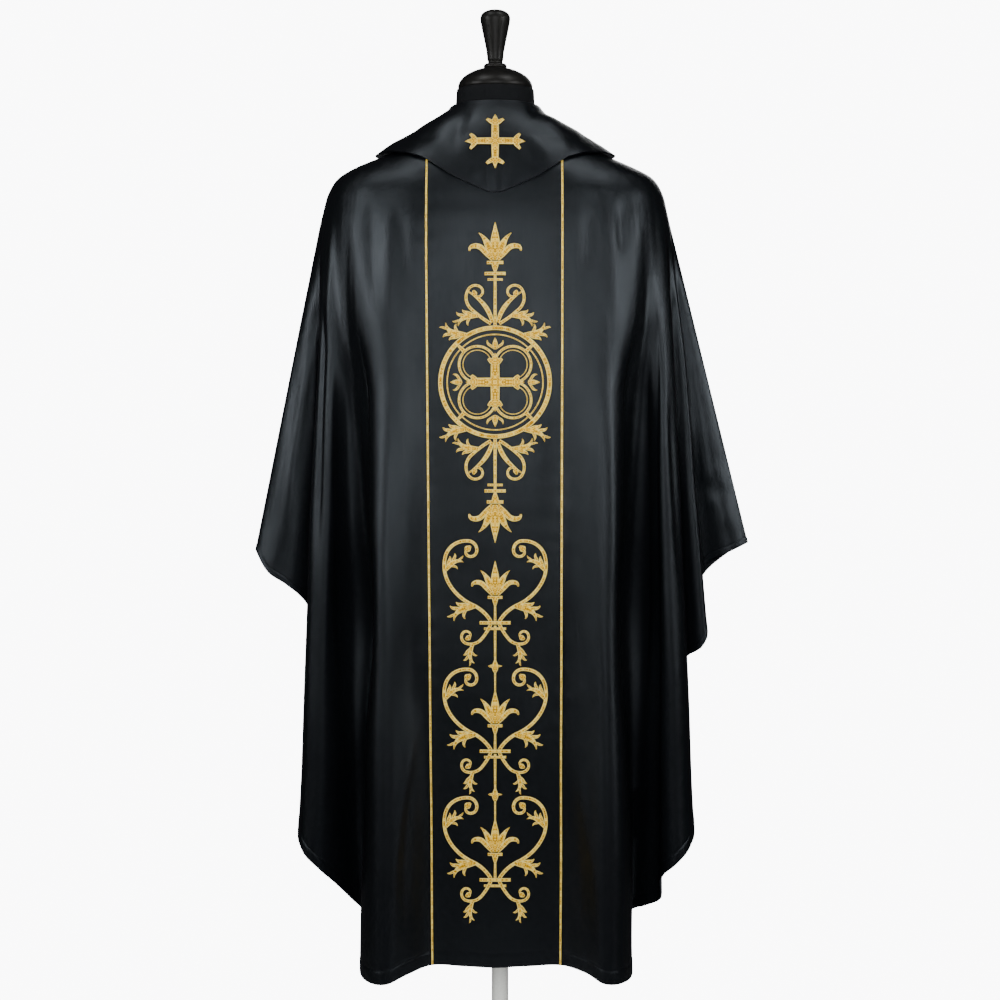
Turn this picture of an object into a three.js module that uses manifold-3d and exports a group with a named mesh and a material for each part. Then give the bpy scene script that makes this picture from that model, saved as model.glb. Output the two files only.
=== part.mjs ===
// Gothic chasuble in black satin, hung on a limbless dress form.
// Millimetres, +Z up. The garment's back, which carries the embroidery, faces -Y.
// The origin is the middle of the base's underside.

import * as THREE from 'three';
import { mergeVertices } from 'three/addons/utils/BufferGeometryUtils.js';
import Module from 'manifold-3d';

// Driving dimensions
const clothWall = 2;
const seamGap = 0.3;
const orphreyWall = 1;
const orphreyHalfWidth = 98;
const pipingWidth = 4;
const pipingHeight = 1.9;
const collarWall = 2.5;
const collarRise = 22;
const collarSideDip = 5;
const embroideryHeight = 1.2;
const crossSize = 87;
const crossArmWidth = 12.7;
const crossHeight = 1442;
const neckHalfWidth = 60;
const neckTop = 1532;
const poleRadius = 12.5;
const formX = -7;
const baseRadius = 190;
const baseThickness = 12;

function table(columns, rows) {
  return rows.map((row) => Object.fromEntries(columns.map((name, i) => [name, row[i]])));
}

// Level rings of the cloth over the shoulders, from the neckline down to where it falls free
const shoulderRings = table(['z', 'width', 'back', 'front'], [
  [1478, 66, 68, 67],
  [1467, 79, 77, 76],
  [1454, 110, 86, 84],
  [1440, 146, 93, 91],
  [1428, 176, 98, 96],
  [1414, 208, 102.5, 101],
  [1398, 234, 107.5, 106],
  [1376, 248, 113, 112],
  [1345, 256, 119, 118],
]);

// One row for each ridge, valley or flank of the back's folds, from the left wing to the right.
// turn is the direction in which the fold leaves the shoulders, x, y and z its place at the hem.
const backFolds = table(['name', 'turn', 'x', 'y', 'z'], [
  ['left wing edge', 0, -356, 0, 850],
  ['left wing', 3, -337, -19, 817],
  ['left wing', 6, -306, -22, 796],
  ['left wing', 9, -278, -10, 768],
  ['left wing valley', 11.5, -250, 2, 700],
  ['side fold back', 13.5, -262, -22, 590],
  ['side fold edge', 15.5, -288, -46, 455],
  ['side fold ridge', 18, -282, -78, 415],
  ['side fold face', 21.5, -258, -90, 389],
  ['side fold face', 25, -231, -76, 364],
  ['side fold valley', 29, -209, -42, 336],
  ['back fold valley', 33, -190, -36, 312],
  ['back fold flank', 36.5, -188, -78, 280],
  ['back fold edge', 40, -193, -134, 248],
  ['back fold ridge', 44.5, -178, -182, 239],
  ['back fold face', 50, -153, -199, 239],
  ['back fold face', 58, -125, -176, 249],
  ['left gold line', 67.2, -90, -142, 257],
  ['panel', 79, -46, -139, 255],
  ['middle', 90, 0, -141, 253],
  ['panel', 101, 47, -139, 255],
  ['right gold line', 112.2, 94, -142, 257],
  ['back fold face', 121, 129, -172, 251],
  ['back fold face', 129, 154, -200, 240],
  ['back fold ridge', 135, 181, -186, 239],
  ['back fold edge', 140, 198, -138, 246],
  ['back fold flank', 143.5, 193, -78, 280],
  ['back fold valley', 147, 199, -28, 316],
  ['inner flap', 150, 221, -40, 327],
  ['inner flap', 152.5, 242, -56, 340],
  ['side fold face', 155, 241, -84, 374],
  ['side fold face', 158, 262, -94, 394],
  ['side fold ridge', 161, 284, -78, 418],
  ['side fold edge', 163.5, 292, -50, 452],
  ['side fold back', 165.5, 270, -30, 550],
  ['short fold valley', 167.5, 255, -6, 650],
  ['short fold', 169.5, 281, -16, 690],
  ['short fold ridge', 171.5, 304, -32, 706],
  ['short fold edge', 173, 314, -22, 734],
  ['right wing valley', 174.5, 294, 1, 790],
  ['right wing', 176, 314, 0, 831],
  ['right wing', 178, 344, -12, 845],
  ['right wing edge', 180, 375, 0, 860],
]);

// The front's folds are plainer, and its hem is shorter
const frontFolds = table(['name', 'turn', 'x', 'y', 'z'], [
  ['left wing edge', 0, -356, 0, 850],
  ['left wing', 4, -332, 21, 815],
  ['left wing', 8, -297, 28, 785],
  ['left wing valley', 11, -262, 22, 730],
  ['side fold edge', 14, -282, 42, 560],
  ['side fold ridge', 18, -268, 84, 470],
  ['side fold face', 23, -232, 98, 425],
  ['side fold valley', 30, -203, 58, 375],
  ['front fold flank', 36, -186, 92, 335],
  ['front fold ridge', 43, -176, 156, 315],
  ['front fold face', 52, -140, 172, 312],
  ['left gold line', 67.2, -91, 146, 318],
  ['panel', 79, -46, 142, 318],
  ['middle', 90, 0, 144, 317],
  ['panel', 101, 46, 142, 318],
  ['right gold line', 112.8, 92, 146, 318],
  ['front fold face', 127, 136, 176, 310],
  ['front fold ridge', 136, 172, 162, 312],
  ['front fold flank', 143, 184, 96, 332],
  ['side fold valley', 150, 206, 56, 372],
  ['side fold face', 157, 240, 96, 418],
  ['side fold ridge', 162, 272, 86, 455],
  ['side fold edge', 166, 290, 46, 540],
  ['right wing valley', 170, 276, 22, 700],
  ['right wing', 173, 304, 26, 800],
  ['right wing', 176.5, 344, 22, 842],
  ['right wing edge', 180, 375, 0, 860],
]);

const back = { side: -1, depth: 'back', folds: backFolds };
const front = { side: 1, depth: 'front', folds: frontFolds };
const foldKeys = ['turn', 'x', 'y', 'z'];
const shoulderShare = 0.3; // of the way from neckline to hem
const shoulderSteps = 6;
const fallSteps = 7;
const columnsPerFold = 2;
const shoulderGrip = 0.35; // how long the cloth keeps the shoulder's slope
const evenShare = 0.5; // of the directions' spread that stays even
const crowdLimit = 4;

// Smooth value between the rows of a table, by a Catmull-Rom curve
function smooth(before, start, end, after, t) {
  const bend = 2 * before - 5 * start + 4 * end - after;
  const twist = 3 * start - before - 3 * end + after;
  return start + 0.5 * t * (end - before + t * (bend + t * twist));
}

function rowValue(rows, index, key) {
  const last = rows.length - 1;
  if (index < 0) return 2 * rows[0][key] - rows[1][key];
  if (index > last) return 2 * rows[last][key] - rows[last - 1][key];
  return rows[index][key];
}

function alongRows(rows, place, key, valueAt = rowValue) {
  const row = Math.min(Math.max(Math.floor(place), 0), rows.length - 2);
  const near = [-1, 0, 1, 2].map((step) => valueAt(rows, row + step, key));
  return smooth(...near, place - row);
}

// Past a wing's edge the folds go on as their mirror in the seam, so the edge turns round
function foldValue(rows, index, key) {
  const last = rows.length - 1;
  if (index >= 0 && index <= last) return rows[index][key];
  const mirrored = index < 0 ? rows[-index] : rows[2 * last - index];
  if (key === 'y') return -mirrored.y;
  if (key === 'turn') return (index < 0 ? 0 : 360) - mirrored.turn;
  return mirrored[key];
}

function foldAt(half, column) {
  return Object.fromEntries(foldKeys.map((key) => [key, alongRows(half.folds, column, key, foldValue)]));
}

// The shoulders, by direction and level; level 0 is the neckline and 1 is where the cloth falls free.
// The directions crowd towards the wings higher up, so that the orphrey's edges run straight up.
function shoulderPoint(half, turn, level) {
  const place = level * (shoulderRings.length - 1);
  const width = alongRows(shoulderRings, place, 'width');
  const depth = alongRows(shoulderRings, place, half.depth);
  const lowest = shoulderRings[shoulderRings.length - 1].width;
  const edgeBelow = Math.acos(orphreyHalfWidth / lowest) / (Math.PI / 2);
  const edgeHere = Math.acos(Math.min(orphreyHalfWidth / width, 0.9)) / (Math.PI / 2);
  const crowdedShare = Math.max((edgeHere - evenShare * edgeBelow) / (1 - evenShare), 0.01);
  const crowd = Math.min(Math.log(crowdedShare) / Math.log(edgeBelow), crowdLimit);
  const fromWing = (turn <= 90 ? turn : 180 - turn) / 90;
  const power = Math.sign(fromWing) * Math.abs(fromWing) ** crowd;
  const angle = (evenShare * fromWing + (1 - evenShare) * power) * Math.PI / 2;
  return new THREE.Vector3(
    Math.cos(angle) * width * (turn <= 90 ? -1 : 1),
    Math.sin(angle) * depth * half.side,
    alongRows(shoulderRings, place, 'z'),
  );
}

// A point of the cloth's outer face: column counts the folds, drop goes from neckline to hem
function clothPoint(half, column, drop) {
  const fold = foldAt(half, column);
  if (drop <= shoulderShare) return shoulderPoint(half, fold.turn, drop / shoulderShare);
  const start = shoulderPoint(half, fold.turn, 1);
  const hem = new THREE.Vector3(fold.x, fold.y, fold.z);
  const fall = hem.clone().sub(start);
  const lead = start.clone().sub(shoulderPoint(half, fold.turn, 0.99));
  lead.setLength(fall.length() * shoulderGrip);
  const t = (drop - shoulderShare) / (1 - shoulderShare);
  const point = start.multiplyScalar((1 + 2 * t) * (1 - t) ** 2);
  point.addScaledVector(lead, t * (1 - t) ** 2);
  point.addScaledVector(hem, t * t * (3 - 2 * t));
  return point.addScaledVector(fall, t * t * (t - 1));
}

function clothNormal(half, column, drop) {
  const step = 0.002;
  const low = Math.max(drop - step, 0);
  const high = Math.min(drop + step, 1);
  const across = clothPoint(half, column + step, drop).sub(clothPoint(half, column - step, drop));
  const down = clothPoint(half, column, high).sub(clothPoint(half, column, low));
  return down.cross(across).multiplyScalar(-half.side).normalize();
}

function clothOut(half, column, drop, out) {
  return clothPoint(half, column, drop).addScaledVector(clothNormal(half, column, drop), out);
}

// Drops of the rings that the cloth and everything laid on it share
const drops = [];
for (let i = 0; i < shoulderSteps; i += 1) drops.push(shoulderShare * i / shoulderSteps);
for (let i = 0; i <= fallSteps; i += 1) drops.push(shoulderShare + (1 - shoulderShare) * i / fallSteps);
const lineTopRing = 3;

function foldIndex(half, name) {
  return half.folds.findIndex((fold) => fold.name === name);
}

function solidFrom(points, faces) {
  const geometry = new THREE.BufferGeometry();
  const numbers = points.flatMap((p) => [p.x, p.y, p.z]);
  geometry.setAttribute('position', new THREE.Float32BufferAttribute(numbers, 3));
  geometry.setIndex(faces.flat());
  return facingOut(geometry);
}

function volumeOf(geometry) {
  const { array } = geometry.attributes.position;
  const corner = (i) => new THREE.Vector3().fromArray(array, 3 * i);
  const index = geometry.index.array;
  let total = 0;
  for (let i = 0; i < index.length; i += 3) {
    total += corner(index[i]).dot(corner(index[i + 1]).cross(corner(index[i + 2]))) / 6;
  }
  return total;
}

function facingOut(geometry) {
  if (volumeOf(geometry) > 0) return geometry;
  const { array } = geometry.index;
  for (let i = 0; i < array.length; i += 3) [array[i + 1], array[i + 2]] = [array[i + 2], array[i + 1]];
  return geometry;
}

// A wall from two grids of points, outer and inner, with its edges closed.
// A grid is a list of rings, each a list of points; a round wall joins its last column to its first.
function wall(outer, inner, round = false) {
  const rings = outer.length;
  const width = outer[0].length;
  const points = [...outer.flat(), ...inner.flat()];
  const offset = rings * width;
  const faces = [];
  const quad = (a, b, c, d) => faces.push([a, b, c], [a, c, d]);
  const spans = round ? width : width - 1;
  for (let j = 0; j < rings - 1; j += 1) {
    for (let i = 0; i < spans; i += 1) {
      const a = j * width + i;
      const b = j * width + (i + 1) % width;
      quad(a, b, b + width, a + width);
      quad(a + offset, a + offset + width, b + offset + width, b + offset);
    }
    if (!round) {
      const left = j * width;
      const right = left + width - 1;
      quad(left, left + width, left + offset + width, left + offset);
      quad(right, right + offset, right + offset + width, right + width);
    }
  }
  for (let i = 0; i < spans; i += 1) {
    const next = (i + 1) % width;
    const top = (rings - 1) * width;
    quad(i, i + offset, next + offset, next);
    quad(top + i, top + next, top + next + offset, top + i + offset);
  }
  return solidFrom(points, faces);
}

// A closed body through a list of rings, each ending in a flat or pointed cap
function loft(rings) {
  const width = rings[0].length;
  const points = rings.flat();
  const faces = [];
  for (let j = 0; j < rings.length - 1; j += 1) {
    for (let i = 0; i < width; i += 1) {
      const a = j * width + i;
      const b = j * width + (i + 1) % width;
      faces.push([a, b, b + width], [a, b + width, a + width]);
    }
  }
  const caps = [[0, false], [rings.length - 1, true]];
  caps.forEach(([ring, last]) => {
    const middle = new THREE.Vector3();
    rings[ring].forEach((p) => middle.addScaledVector(p, 1 / width));
    points.push(middle);
    for (let i = 0; i < width; i += 1) {
      const a = ring * width + i;
      const b = ring * width + (i + 1) % width;
      faces.push(last ? [a, b, points.length - 1] : [b, a, points.length - 1]);
    }
  });
  return solidFrom(points, faces);
}

function finish(color, roughness, metalness) {
  return new THREE.MeshStandardMaterial({ color, roughness, metalness });
}

const satin = finish(0x0d0f11, 0.38, 0);
const jersey = finish(0x101113, 0.9, 0);
const darkWood = finish(0x14120f, 0.3, 0);
const goldThread = finish(0xc9a24c, 0.45, 0.3);
const greySteel = finish(0xb6b9b2, 0.4, 0.7);

const chasuble = new THREE.Group();

function add(name, geometry, material, x = formX) {
  geometry.translate(x, 0, 0);
  const mesh = new THREE.Mesh(geometry, material);
  mesh.name = name;
  chasuble.add(mesh);
}

// Each half of the chasuble is one wall from wing edge to wing edge; the halves meet at the wing seams
function clothHalf(half) {
  const count = (half.folds.length - 1) * columnsPerFold;
  const part = half.side * seamGap / 2;
  const gridAt = (out) => drops.map((drop) => {
    const ring = [];
    for (let i = 0; i <= count; i += 1) {
      const point = clothOut(half, i / columnsPerFold, drop, out);
      if (i === 0 || i === count) point.y = part;
      ring.push(point);
    }
    return ring;
  });
  return wall(gridAt(0), gridAt(-clothWall));
}

add('chasuble_back', clothHalf(back), satin);
add('chasuble_front', clothHalf(front), satin);

// Orphrey panels lie on the cloth between the gold lines, made from its points moved out
const layGap = seamGap + 0.05;

function lineColumns(half) {
  return [foldIndex(half, 'left gold line'), foldIndex(half, 'right gold line')];
}

// A point some millimetres to the side of a column, along the cloth's own face there
function beside(half, column, drop, side, out) {
  const here = clothOut(half, column, drop, out);
  if (side === 0) return here;
  const next = clothOut(half, column + Math.sign(side) / columnsPerFold, drop, out);
  return here.lerp(next, Math.abs(side) / here.distanceTo(next));
}

function orphrey(half) {
  const [left, right] = lineColumns(half);
  const inset = pipingWidth / 2 + seamGap;
  const gridAt = (out) => drops.slice(lineTopRing).map((drop) => {
    const ring = [];
    for (let i = 0; i <= (right - left) * columnsPerFold; i += 1) {
      const column = left + i / columnsPerFold;
      const aside = (column === left ? inset : 0) - (column === right ? inset : 0);
      ring.push(beside(half, column, drop, aside, out));
    }
    return ring;
  });
  return wall(gridAt(layGap + orphreyWall), gridAt(layGap));
}

add('orphrey_back', orphrey(back), satin);
add('orphrey_front', orphrey(front), satin);

// Gold piping: a low rounded cord along each edge of the orphrey
const pipingSection = table(['side', 'out'], [
  [-0.5, 0], [-0.5, 0.55], [-0.25, 1], [0.25, 1], [0.5, 0.55], [0.5, 0], [0, 0],
]);

function piping(half, column) {
  const rise = pipingHeight - layGap;
  return loft(drops.slice(lineTopRing).map((drop) => pipingSection.map(
    ({ side, out }) => beside(half, column, drop, side * pipingWidth, layGap + out * rise),
  )));
}

[['back', back], ['front', front]].forEach(([name, half]) => {
  const [left, right] = lineColumns(half);
  add(`piping_${name}_left`, piping(half, left), goldThread);
  add(`piping_${name}_right`, piping(half, right), goldThread);
});

// The collar stands at the neck, turns over and falls to a point at the back and at the front.
// Its lower edge as seen from behind: height by distance from the middle.
const collarEdge = table(['x', 'z'], [
  [0, 1366], [11, 1366.5], [15, 1369], [36, 1378], [61, 1390], [84, 1405],
  [104, 1419], [130, 1427], [155, 1430], [176, 1428], [186, 1424],
]);
const collarColumns = 20;
const collarDrops = [0, 0.15, 0.38, 0.62, 0.83, 1];
const collarEase = 1.6;
const collarLift = pipingHeight + seamGap + collarEase + collarWall;
const standWall = 1.6;

function edgeHeight(x) {
  const row = Math.max(collarEdge.findIndex((entry) => entry.x > x) - 1, 0);
  const [start, end] = [collarEdge[row], collarEdge[row + 1]];
  return start.z + (end.z - start.z) * (x - start.x) / (end.x - start.x);
}

// The level at which the collar ends in this direction
function collarEnd(half, turn) {
  let low = 0;
  let high = 1;
  for (let i = 0; i < 30; i += 1) {
    const level = (low + high) / 2;
    const point = shoulderPoint(half, turn, level);
    if (point.z > edgeHeight(Math.min(Math.abs(point.x), 185))) low = level;
    else high = level;
  }
  return low;
}

function shoulderNormal(half, turn, level) {
  const step = 0.002;
  const high = Math.min(level + step, 1);
  const low = Math.max(level - step, 0);
  const side = shoulderPoint(half, turn + 0.1, level).sub(shoulderPoint(half, turn - 0.1, level));
  const down = shoulderPoint(half, turn, high).sub(shoulderPoint(half, turn, low));
  return down.cross(side).multiplyScalar(-half.side).normalize();
}

function collarPoint(half, turn, share, out = 0) {
  const level = share * collarEnd(half, turn);
  const point = shoulderPoint(half, turn, level);
  const normal = shoulderNormal(half, turn, level);
  const neck = shoulderPoint(half, turn, 0);
  const rim = shoulderPoint(half, turn, collarEnd(half, turn));
  const reach = Math.hypot(point.x - neck.x, point.y - neck.y) / Math.hypot(rim.x - neck.x, rim.y - neck.y);
  point.addScaledVector(normal, collarLift + out);
  const rise = collarRise - collarSideDip * Math.cos(THREE.MathUtils.degToRad(turn)) ** 2;
  point.z += rise * (1 - reach ** 2);
  return point;
}

// Path of the collar in one direction: up the stand, over the roll and down the fall
function collarPath(half, turn, out) {
  const base = shoulderPoint(half, turn, 0);
  const outward = shoulderNormal(half, turn, 0).setZ(0).normalize();
  const fallTop = collarPoint(half, turn, 0, out);
  const stand = (inward, z) => base.clone().addScaledVector(outward, inward).setZ(z);
  const standOut = out < 0 ? -0.2 : -0.2 - standWall;
  const seamZ = base.z + seamGap;
  const rollZ = fallTop.z + (out < 0 ? 0.6 : 2.6);
  const mid = (collarLift + out + standOut) / 2;
  const path = [stand(standOut, seamZ), stand(standOut, fallTop.z - 3), stand(mid, rollZ)];
  return path.concat(collarDrops.map((share) => collarPoint(half, turn, share, out)));
}

function collarHalf(half) {
  const columns = [];
  for (let i = 0; i <= collarColumns; i += 1) columns.push(180 * i / collarColumns);
  const gridAt = (out) => {
    const paths = columns.map((turn, i) => {
      const path = collarPath(half, turn, out);
      if (i === 0 || i === collarColumns) path.forEach((point) => point.setY(half.side * seamGap / 2));
      return path;
    });
    return paths[0].map((unused, j) => paths.map((path) => path[j]));
  };
  return wall(gridAt(0), gridAt(-collarWall));
}

add('collar_back', collarHalf(back), satin);
add('collar_front', collarHalf(front), satin);

// The dress form: neck, shoulders from the cloth's own rings moved in, and a plain torso
const formRings = table(['z', 'width', 'back', 'front'], [
  [1380, 232, 104, 103],
  [1345, 231, 106, 107],
  [1280, 214, 109, 113],
  [1190, 190, 104, 112],
  [1090, 163, 93, 102],
  [980, 168, 104, 103],
  [890, 176, 110, 105],
  [835, 172, 108, 102],
  [826, 164, 102, 96],
]);
const neckRings = table(['z', 'width', 'back', 'front'], [
  [neckTop, 57.5, 58.5, 57.5],
  [1505, 59, 60.5, 59.5],
  [1486, neckHalfWidth, 62, 61],
]);
const formShoulderLevels = [0, 1, 2, 3, 4].map((step) => step / shoulderSteps);
const formClearance = clothWall + 1;
const formColumnStep = 2;

function formRing(pointAt) {
  const ring = [];
  [back, front].forEach((half) => {
    const turns = half.folds.map((fold) => fold.turn).filter((turn, i) => i % formColumnStep === 0);
    const ordered = half.side < 0 ? turns : turns.reverse();
    ordered.slice(0, -1).forEach((turn) => ring.push(pointAt(half, turn)));
  });
  return ring;
}

function levelRing({ z, width, ...depths }) {
  return formRing((half, turn) => {
    const angle = THREE.MathUtils.degToRad(turn);
    return new THREE.Vector3(-width * Math.cos(angle), half.side * depths[half.depth] * Math.sin(angle), z);
  });
}

const formShoulders = formShoulderLevels.map((level) => formRing((half, turn) => {
  const point = shoulderPoint(half, turn, level);
  return point.addScaledVector(shoulderNormal(half, turn, level), -formClearance);
}));
const formBody = [...neckRings.map(levelRing), ...formShoulders, ...formRings.map(levelRing)];
add('form_torso', loft(formBody), jersey);

const turnedSides = 18;

// Turned pieces: a profile of radius and height, with a flat end below and above
function turned(profile) {
  return loft(profile.map(([radius, z]) => {
    const ring = [];
    for (let i = 0; i < turnedSides; i += 1) {
      const angle = 2 * Math.PI * i / turnedSides;
      ring.push(new THREE.Vector3(radius * Math.cos(angle), radius * Math.sin(angle), z));
    }
    return ring;
  }));
}

const capBottom = neckTop + seamGap;
const capTop = 1563;
add('neck_cap', turned([
  [54.5, capBottom], [55.5, capBottom + 3], [54, 1542], [46, 1552], [33, 1559], [20, capTop],
]), darkWood);
const finialFoot = capTop + seamGap;
add('finial', turned([
  [16, finialFoot], [17.2, 1565], [17.2, 1568], [15.5, 1570.5], [10.5, 1572], [11, 1575], [12.3, 1578],
  [14.2, 1592], [20.4, 1625], [22.8, 1637], [21, 1643], [13, 1648.5], [4, 1651],
]), darkWood);

// The stand: a steel pole from the form's underside into a socket on a round base
const formBottom = formRings[formRings.length - 1].z;
const socketTop = 70;
add('pole', turned([
  [poleRadius, socketTop + seamGap], [poleRadius, formBottom - seamGap],
]), greySteel, 0);
add('base', turned([
  [baseRadius - 3, 0], [baseRadius, 3], [baseRadius, baseThickness - 4], [baseRadius - 5, baseThickness],
  [30, baseThickness + 3], [20, baseThickness + 10], [19, socketTop - 2], [17, socketTop],
]), greySteel, 0);

// Embroidery, drawn flat: x across, y up, in millimetres. A stroke is a row of bends, each a length
// and a turn in degrees, from a start and a heading; its width runs from one size to the other,
// or swells between them for a leaf.
const wasm = await Module();
wasm.setup();
const strokeStep = 30;
const strokeTurn = 52;

// The place and heading after a bend, which is an arc
function afterBend({ x, y, heading }, length, turn) {
  const angle = THREE.MathUtils.degToRad(heading);
  const sweep = THREE.MathUtils.degToRad(turn);
  const chord = sweep === 0 ? length : length * Math.sin(sweep / 2) / (sweep / 2);
  return {
    x: x + chord * Math.cos(angle + sweep / 2),
    y: y + chord * Math.sin(angle + sweep / 2),
    heading: heading + turn,
  };
}

function strokeLine({ x, y, heading, bends }) {
  let at = { x, y, heading };
  const points = [new THREE.Vector2(x, y)];
  bends.forEach(([length, turn]) => {
    const steps = Math.max(Math.ceil(length / strokeStep), Math.ceil(Math.abs(turn) / strokeTurn));
    for (let i = 0; i < steps; i += 1) {
      at = afterBend(at, length / steps, turn / steps);
      points.push(new THREE.Vector2(at.x, at.y));
    }
  });
  return points;
}

function strokeOutline(stroke) {
  const line = strokeLine(stroke);
  const left = [];
  const right = [];
  line.forEach((point, i) => {
    const next = line[Math.min(i + 1, line.length - 1)];
    const previous = line[Math.max(i - 1, 0)];
    const along = next.clone().sub(previous).normalize();
    const t = i / (line.length - 1);
    const swell = (stroke.swell || 0) * Math.sin(Math.PI * t ** 0.8);
    const width = stroke.width[0] + (stroke.width[1] - stroke.width[0]) * t + swell;
    left.push(new THREE.Vector2(point.x - along.y * width / 2, point.y + along.x * width / 2));
    right.push(new THREE.Vector2(point.x + along.y * width / 2, point.y - along.x * width / 2));
  });
  return left.concat(right.reverse());
}

function mirrored(strokes) {
  const other = strokes.map(({ x, heading, bends, ...rest }) => ({
    ...rest, x: -x, heading: 180 - heading, bends: bends.map(([length, turn]) => [length, -turn]),
  }));
  return [...strokes, ...other];
}

function moved(strokes, x, y, scale = 1) {
  return strokes.map((stroke) => ({
    ...stroke,
    x: stroke.x * scale + x,
    y: stroke.y * scale + y,
    width: stroke.width.map((width) => width * scale),
    swell: (stroke.swell || 0) * scale,
    bends: stroke.bends.map(([length, turn]) => [length * scale, turn]),
  }));
}

// Upside down: the same strokes turned over a level line
function flipped(strokes) {
  return strokes.map(({ y, heading, bends, ...rest }) => ({
    ...rest, y: -y, heading: -heading, bends: bends.map(([length, turn]) => [length, -turn]),
  }));
}

function flatSolid(outline) {
  const thickness = { depth: embroideryHeight, bevelEnabled: false };
  const geometry = new THREE.ExtrudeGeometry(new THREE.Shape(outline), thickness);
  geometry.deleteAttribute('normal');
  geometry.deleteAttribute('uv');
  const merged = mergeVertices(geometry, 1e-3);
  return new wasm.Manifold(new wasm.Mesh({
    numProp: 3,
    vertProperties: Float32Array.from(merged.attributes.position.array),
    triVerts: Uint32Array.from(merged.index.array),
  }));
}

function joined(outlines) {
  return outlines.map(flatSolid).reduce((whole, piece) => whole.add(piece)).asOriginal().simplify(0.8);
}

// Places a flat solid on a surface: place gives the point over x and height z, moved out
function laidOn(solid, place) {
  const mesh = solid.getMesh();
  const points = [];
  for (let i = 0; i < mesh.vertProperties.length; i += mesh.numProp) {
    points.push(place(mesh.vertProperties[i], mesh.vertProperties[i + 1], mesh.vertProperties[i + 2]));
  }
  const faces = [];
  for (let i = 0; i < mesh.triVerts.length; i += 3) faces.push(Array.from(mesh.triVerts.slice(i, i + 3)));
  return solidFrom(points, faces);
}

// Finds the two surface parameters at which a surface has this x and z
function solveFor(surface, x, z, start, limits) {
  const at = [...start];
  const step = 1e-3;
  for (let round = 0; round < 12; round += 1) {
    const here = surface(...at);
    const du = surface(at[0] + step, at[1]).sub(here).divideScalar(step);
    const dv = surface(at[0], at[1] + step).sub(here).divideScalar(step);
    const [errorX, errorZ] = [x - here.x, z - here.z];
    const det = du.x * dv.z - dv.x * du.z;
    at[0] += (errorX * dv.z - dv.x * errorZ) / det;
    at[1] += (du.x * errorZ - errorX * du.z) / det;
    at[1] = Math.min(Math.max(at[1], limits[0]), limits[1]);
  }
  return at;
}

const stitchGap = 0.8;
const stitchBase = layGap + orphreyWall + stitchGap;

function ontoOrphrey(x, z, height) {
  const middle = foldIndex(back, 'middle');
  const surface = (column, drop) => clothPoint(back, column, drop);
  const [column, drop] = solveFor(surface, x, z, [middle + x / 49, 0.5], [0.05, 0.998]);
  return clothOut(back, column, drop, stitchBase + height);
}

// Leaves, palmettes and volutes are made once, and set on the strokes that carry them

// The place and heading at a share of a stroke's length
function placeOn(one, share) {
  let left = share * one.bends.reduce((whole, [length]) => whole + length, 0);
  let at = { x: one.x, y: one.y, heading: one.heading };
  one.bends.forEach(([length, turn]) => {
    const part = Math.min(Math.max(left / length, 0), 1);
    at = afterBend(at, length * part, turn * part);
    left -= length;
  });
  return at;
}

function stroke(x, y, heading, bends, width, swell = 0) {
  return { x, y, heading, bends, width, swell };
}

function branch(one, share, turn, bends, width, swell) {
  const at = placeOn(one, share);
  return stroke(at.x, at.y, at.heading + turn, bends, width, swell);
}

// Turned about the origin, then moved to a place
function setAt(strokes, { x, y, heading }) {
  const angle = THREE.MathUtils.degToRad(heading);
  return strokes.map((one) => ({
    ...one,
    x: x + one.x * Math.cos(angle) - one.y * Math.sin(angle),
    y: y + one.x * Math.sin(angle) + one.y * Math.cos(angle),
    heading: one.heading + heading,
  }));
}

// A curled leaf with a lobe on its outer side
function acanthus(at, size, hand) {
  const blade = stroke(0, 0, 0, [[22, 24], [20, 66]], [5.5, 1.2], 7.5);
  const lobe = branch(blade, 0.2, -34, [[13, 22], [9, -50]], [5, 1.2], 5);
  const leaf = hand < 0 ? flipped([blade, lobe]) : [blade, lobe];
  return setAt(moved(leaf, 0, 0, size), at);
}

function acanthusOn(one, share, turn, size, hand) {
  const at = placeOn(one, share);
  return acanthus({ ...at, heading: at.heading + turn }, size, hand);
}

// A volute goes on from a stroke's end and winds in to an eye
function voluteOn(one, size, width, lead = 0) {
  const start = placeOn(one, 1);
  const wind = [[26 * size, 100], [19 * size, 110], [12 * size, 105]];
  const bends = lead > 0 ? [[lead, lead * 1.6], ...wind] : wind;
  const wound = stroke(start.x, start.y, start.heading, bends, width);
  const eyeSize = width[1] * 2.2;
  const eyeEnd = eyeSize * 0.35;
  const eye = stroke(-eyeEnd, 0, 0, [[eyeSize, 0]], [eyeEnd, eyeEnd], eyeSize * 0.75);
  return [wound, ...setAt([eye], placeOn(wound, 1))];
}

// A palmette: a pointed petal, a slim one and a curled one to each side, in a cup
function palmette(size) {
  const petals = [
    stroke(1.5, 7, 70, [[20, -6], [14, -26]], [4, 0.8], 7),
    stroke(3, 6, 46, [[16, 4], [13, -70], [6, -80]], [4.4, 2.4], 4),
  ];
  const middle = [
    stroke(0, 6, 90, [[42, 0]], [5, 0.8], 9),
    stroke(-9, 3, 0, [[18, 0]], [5, 5]),
    stroke(0, 3, -90, [[13, 0]], [9, 1], 2),
  ];
  return moved([...middle, ...mirrored(petals)], 0, 0, size);
}

function tie(y, half) {
  return [
    stroke(-half, y, 0, [[half * 2, 0]], [6.5, 6.5]),
    stroke(-half * 0.72, y - 8.5, 0, [[half * 1.44, 0]], [4.8, 4.8]),
  ];
}

function ray(heading, from, length, width, swell = 0) {
  return setAt([stroke(from, 0, 0, [[length, 0]], width, swell)], { x: 0, y: 0, heading })[0];
}

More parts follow.
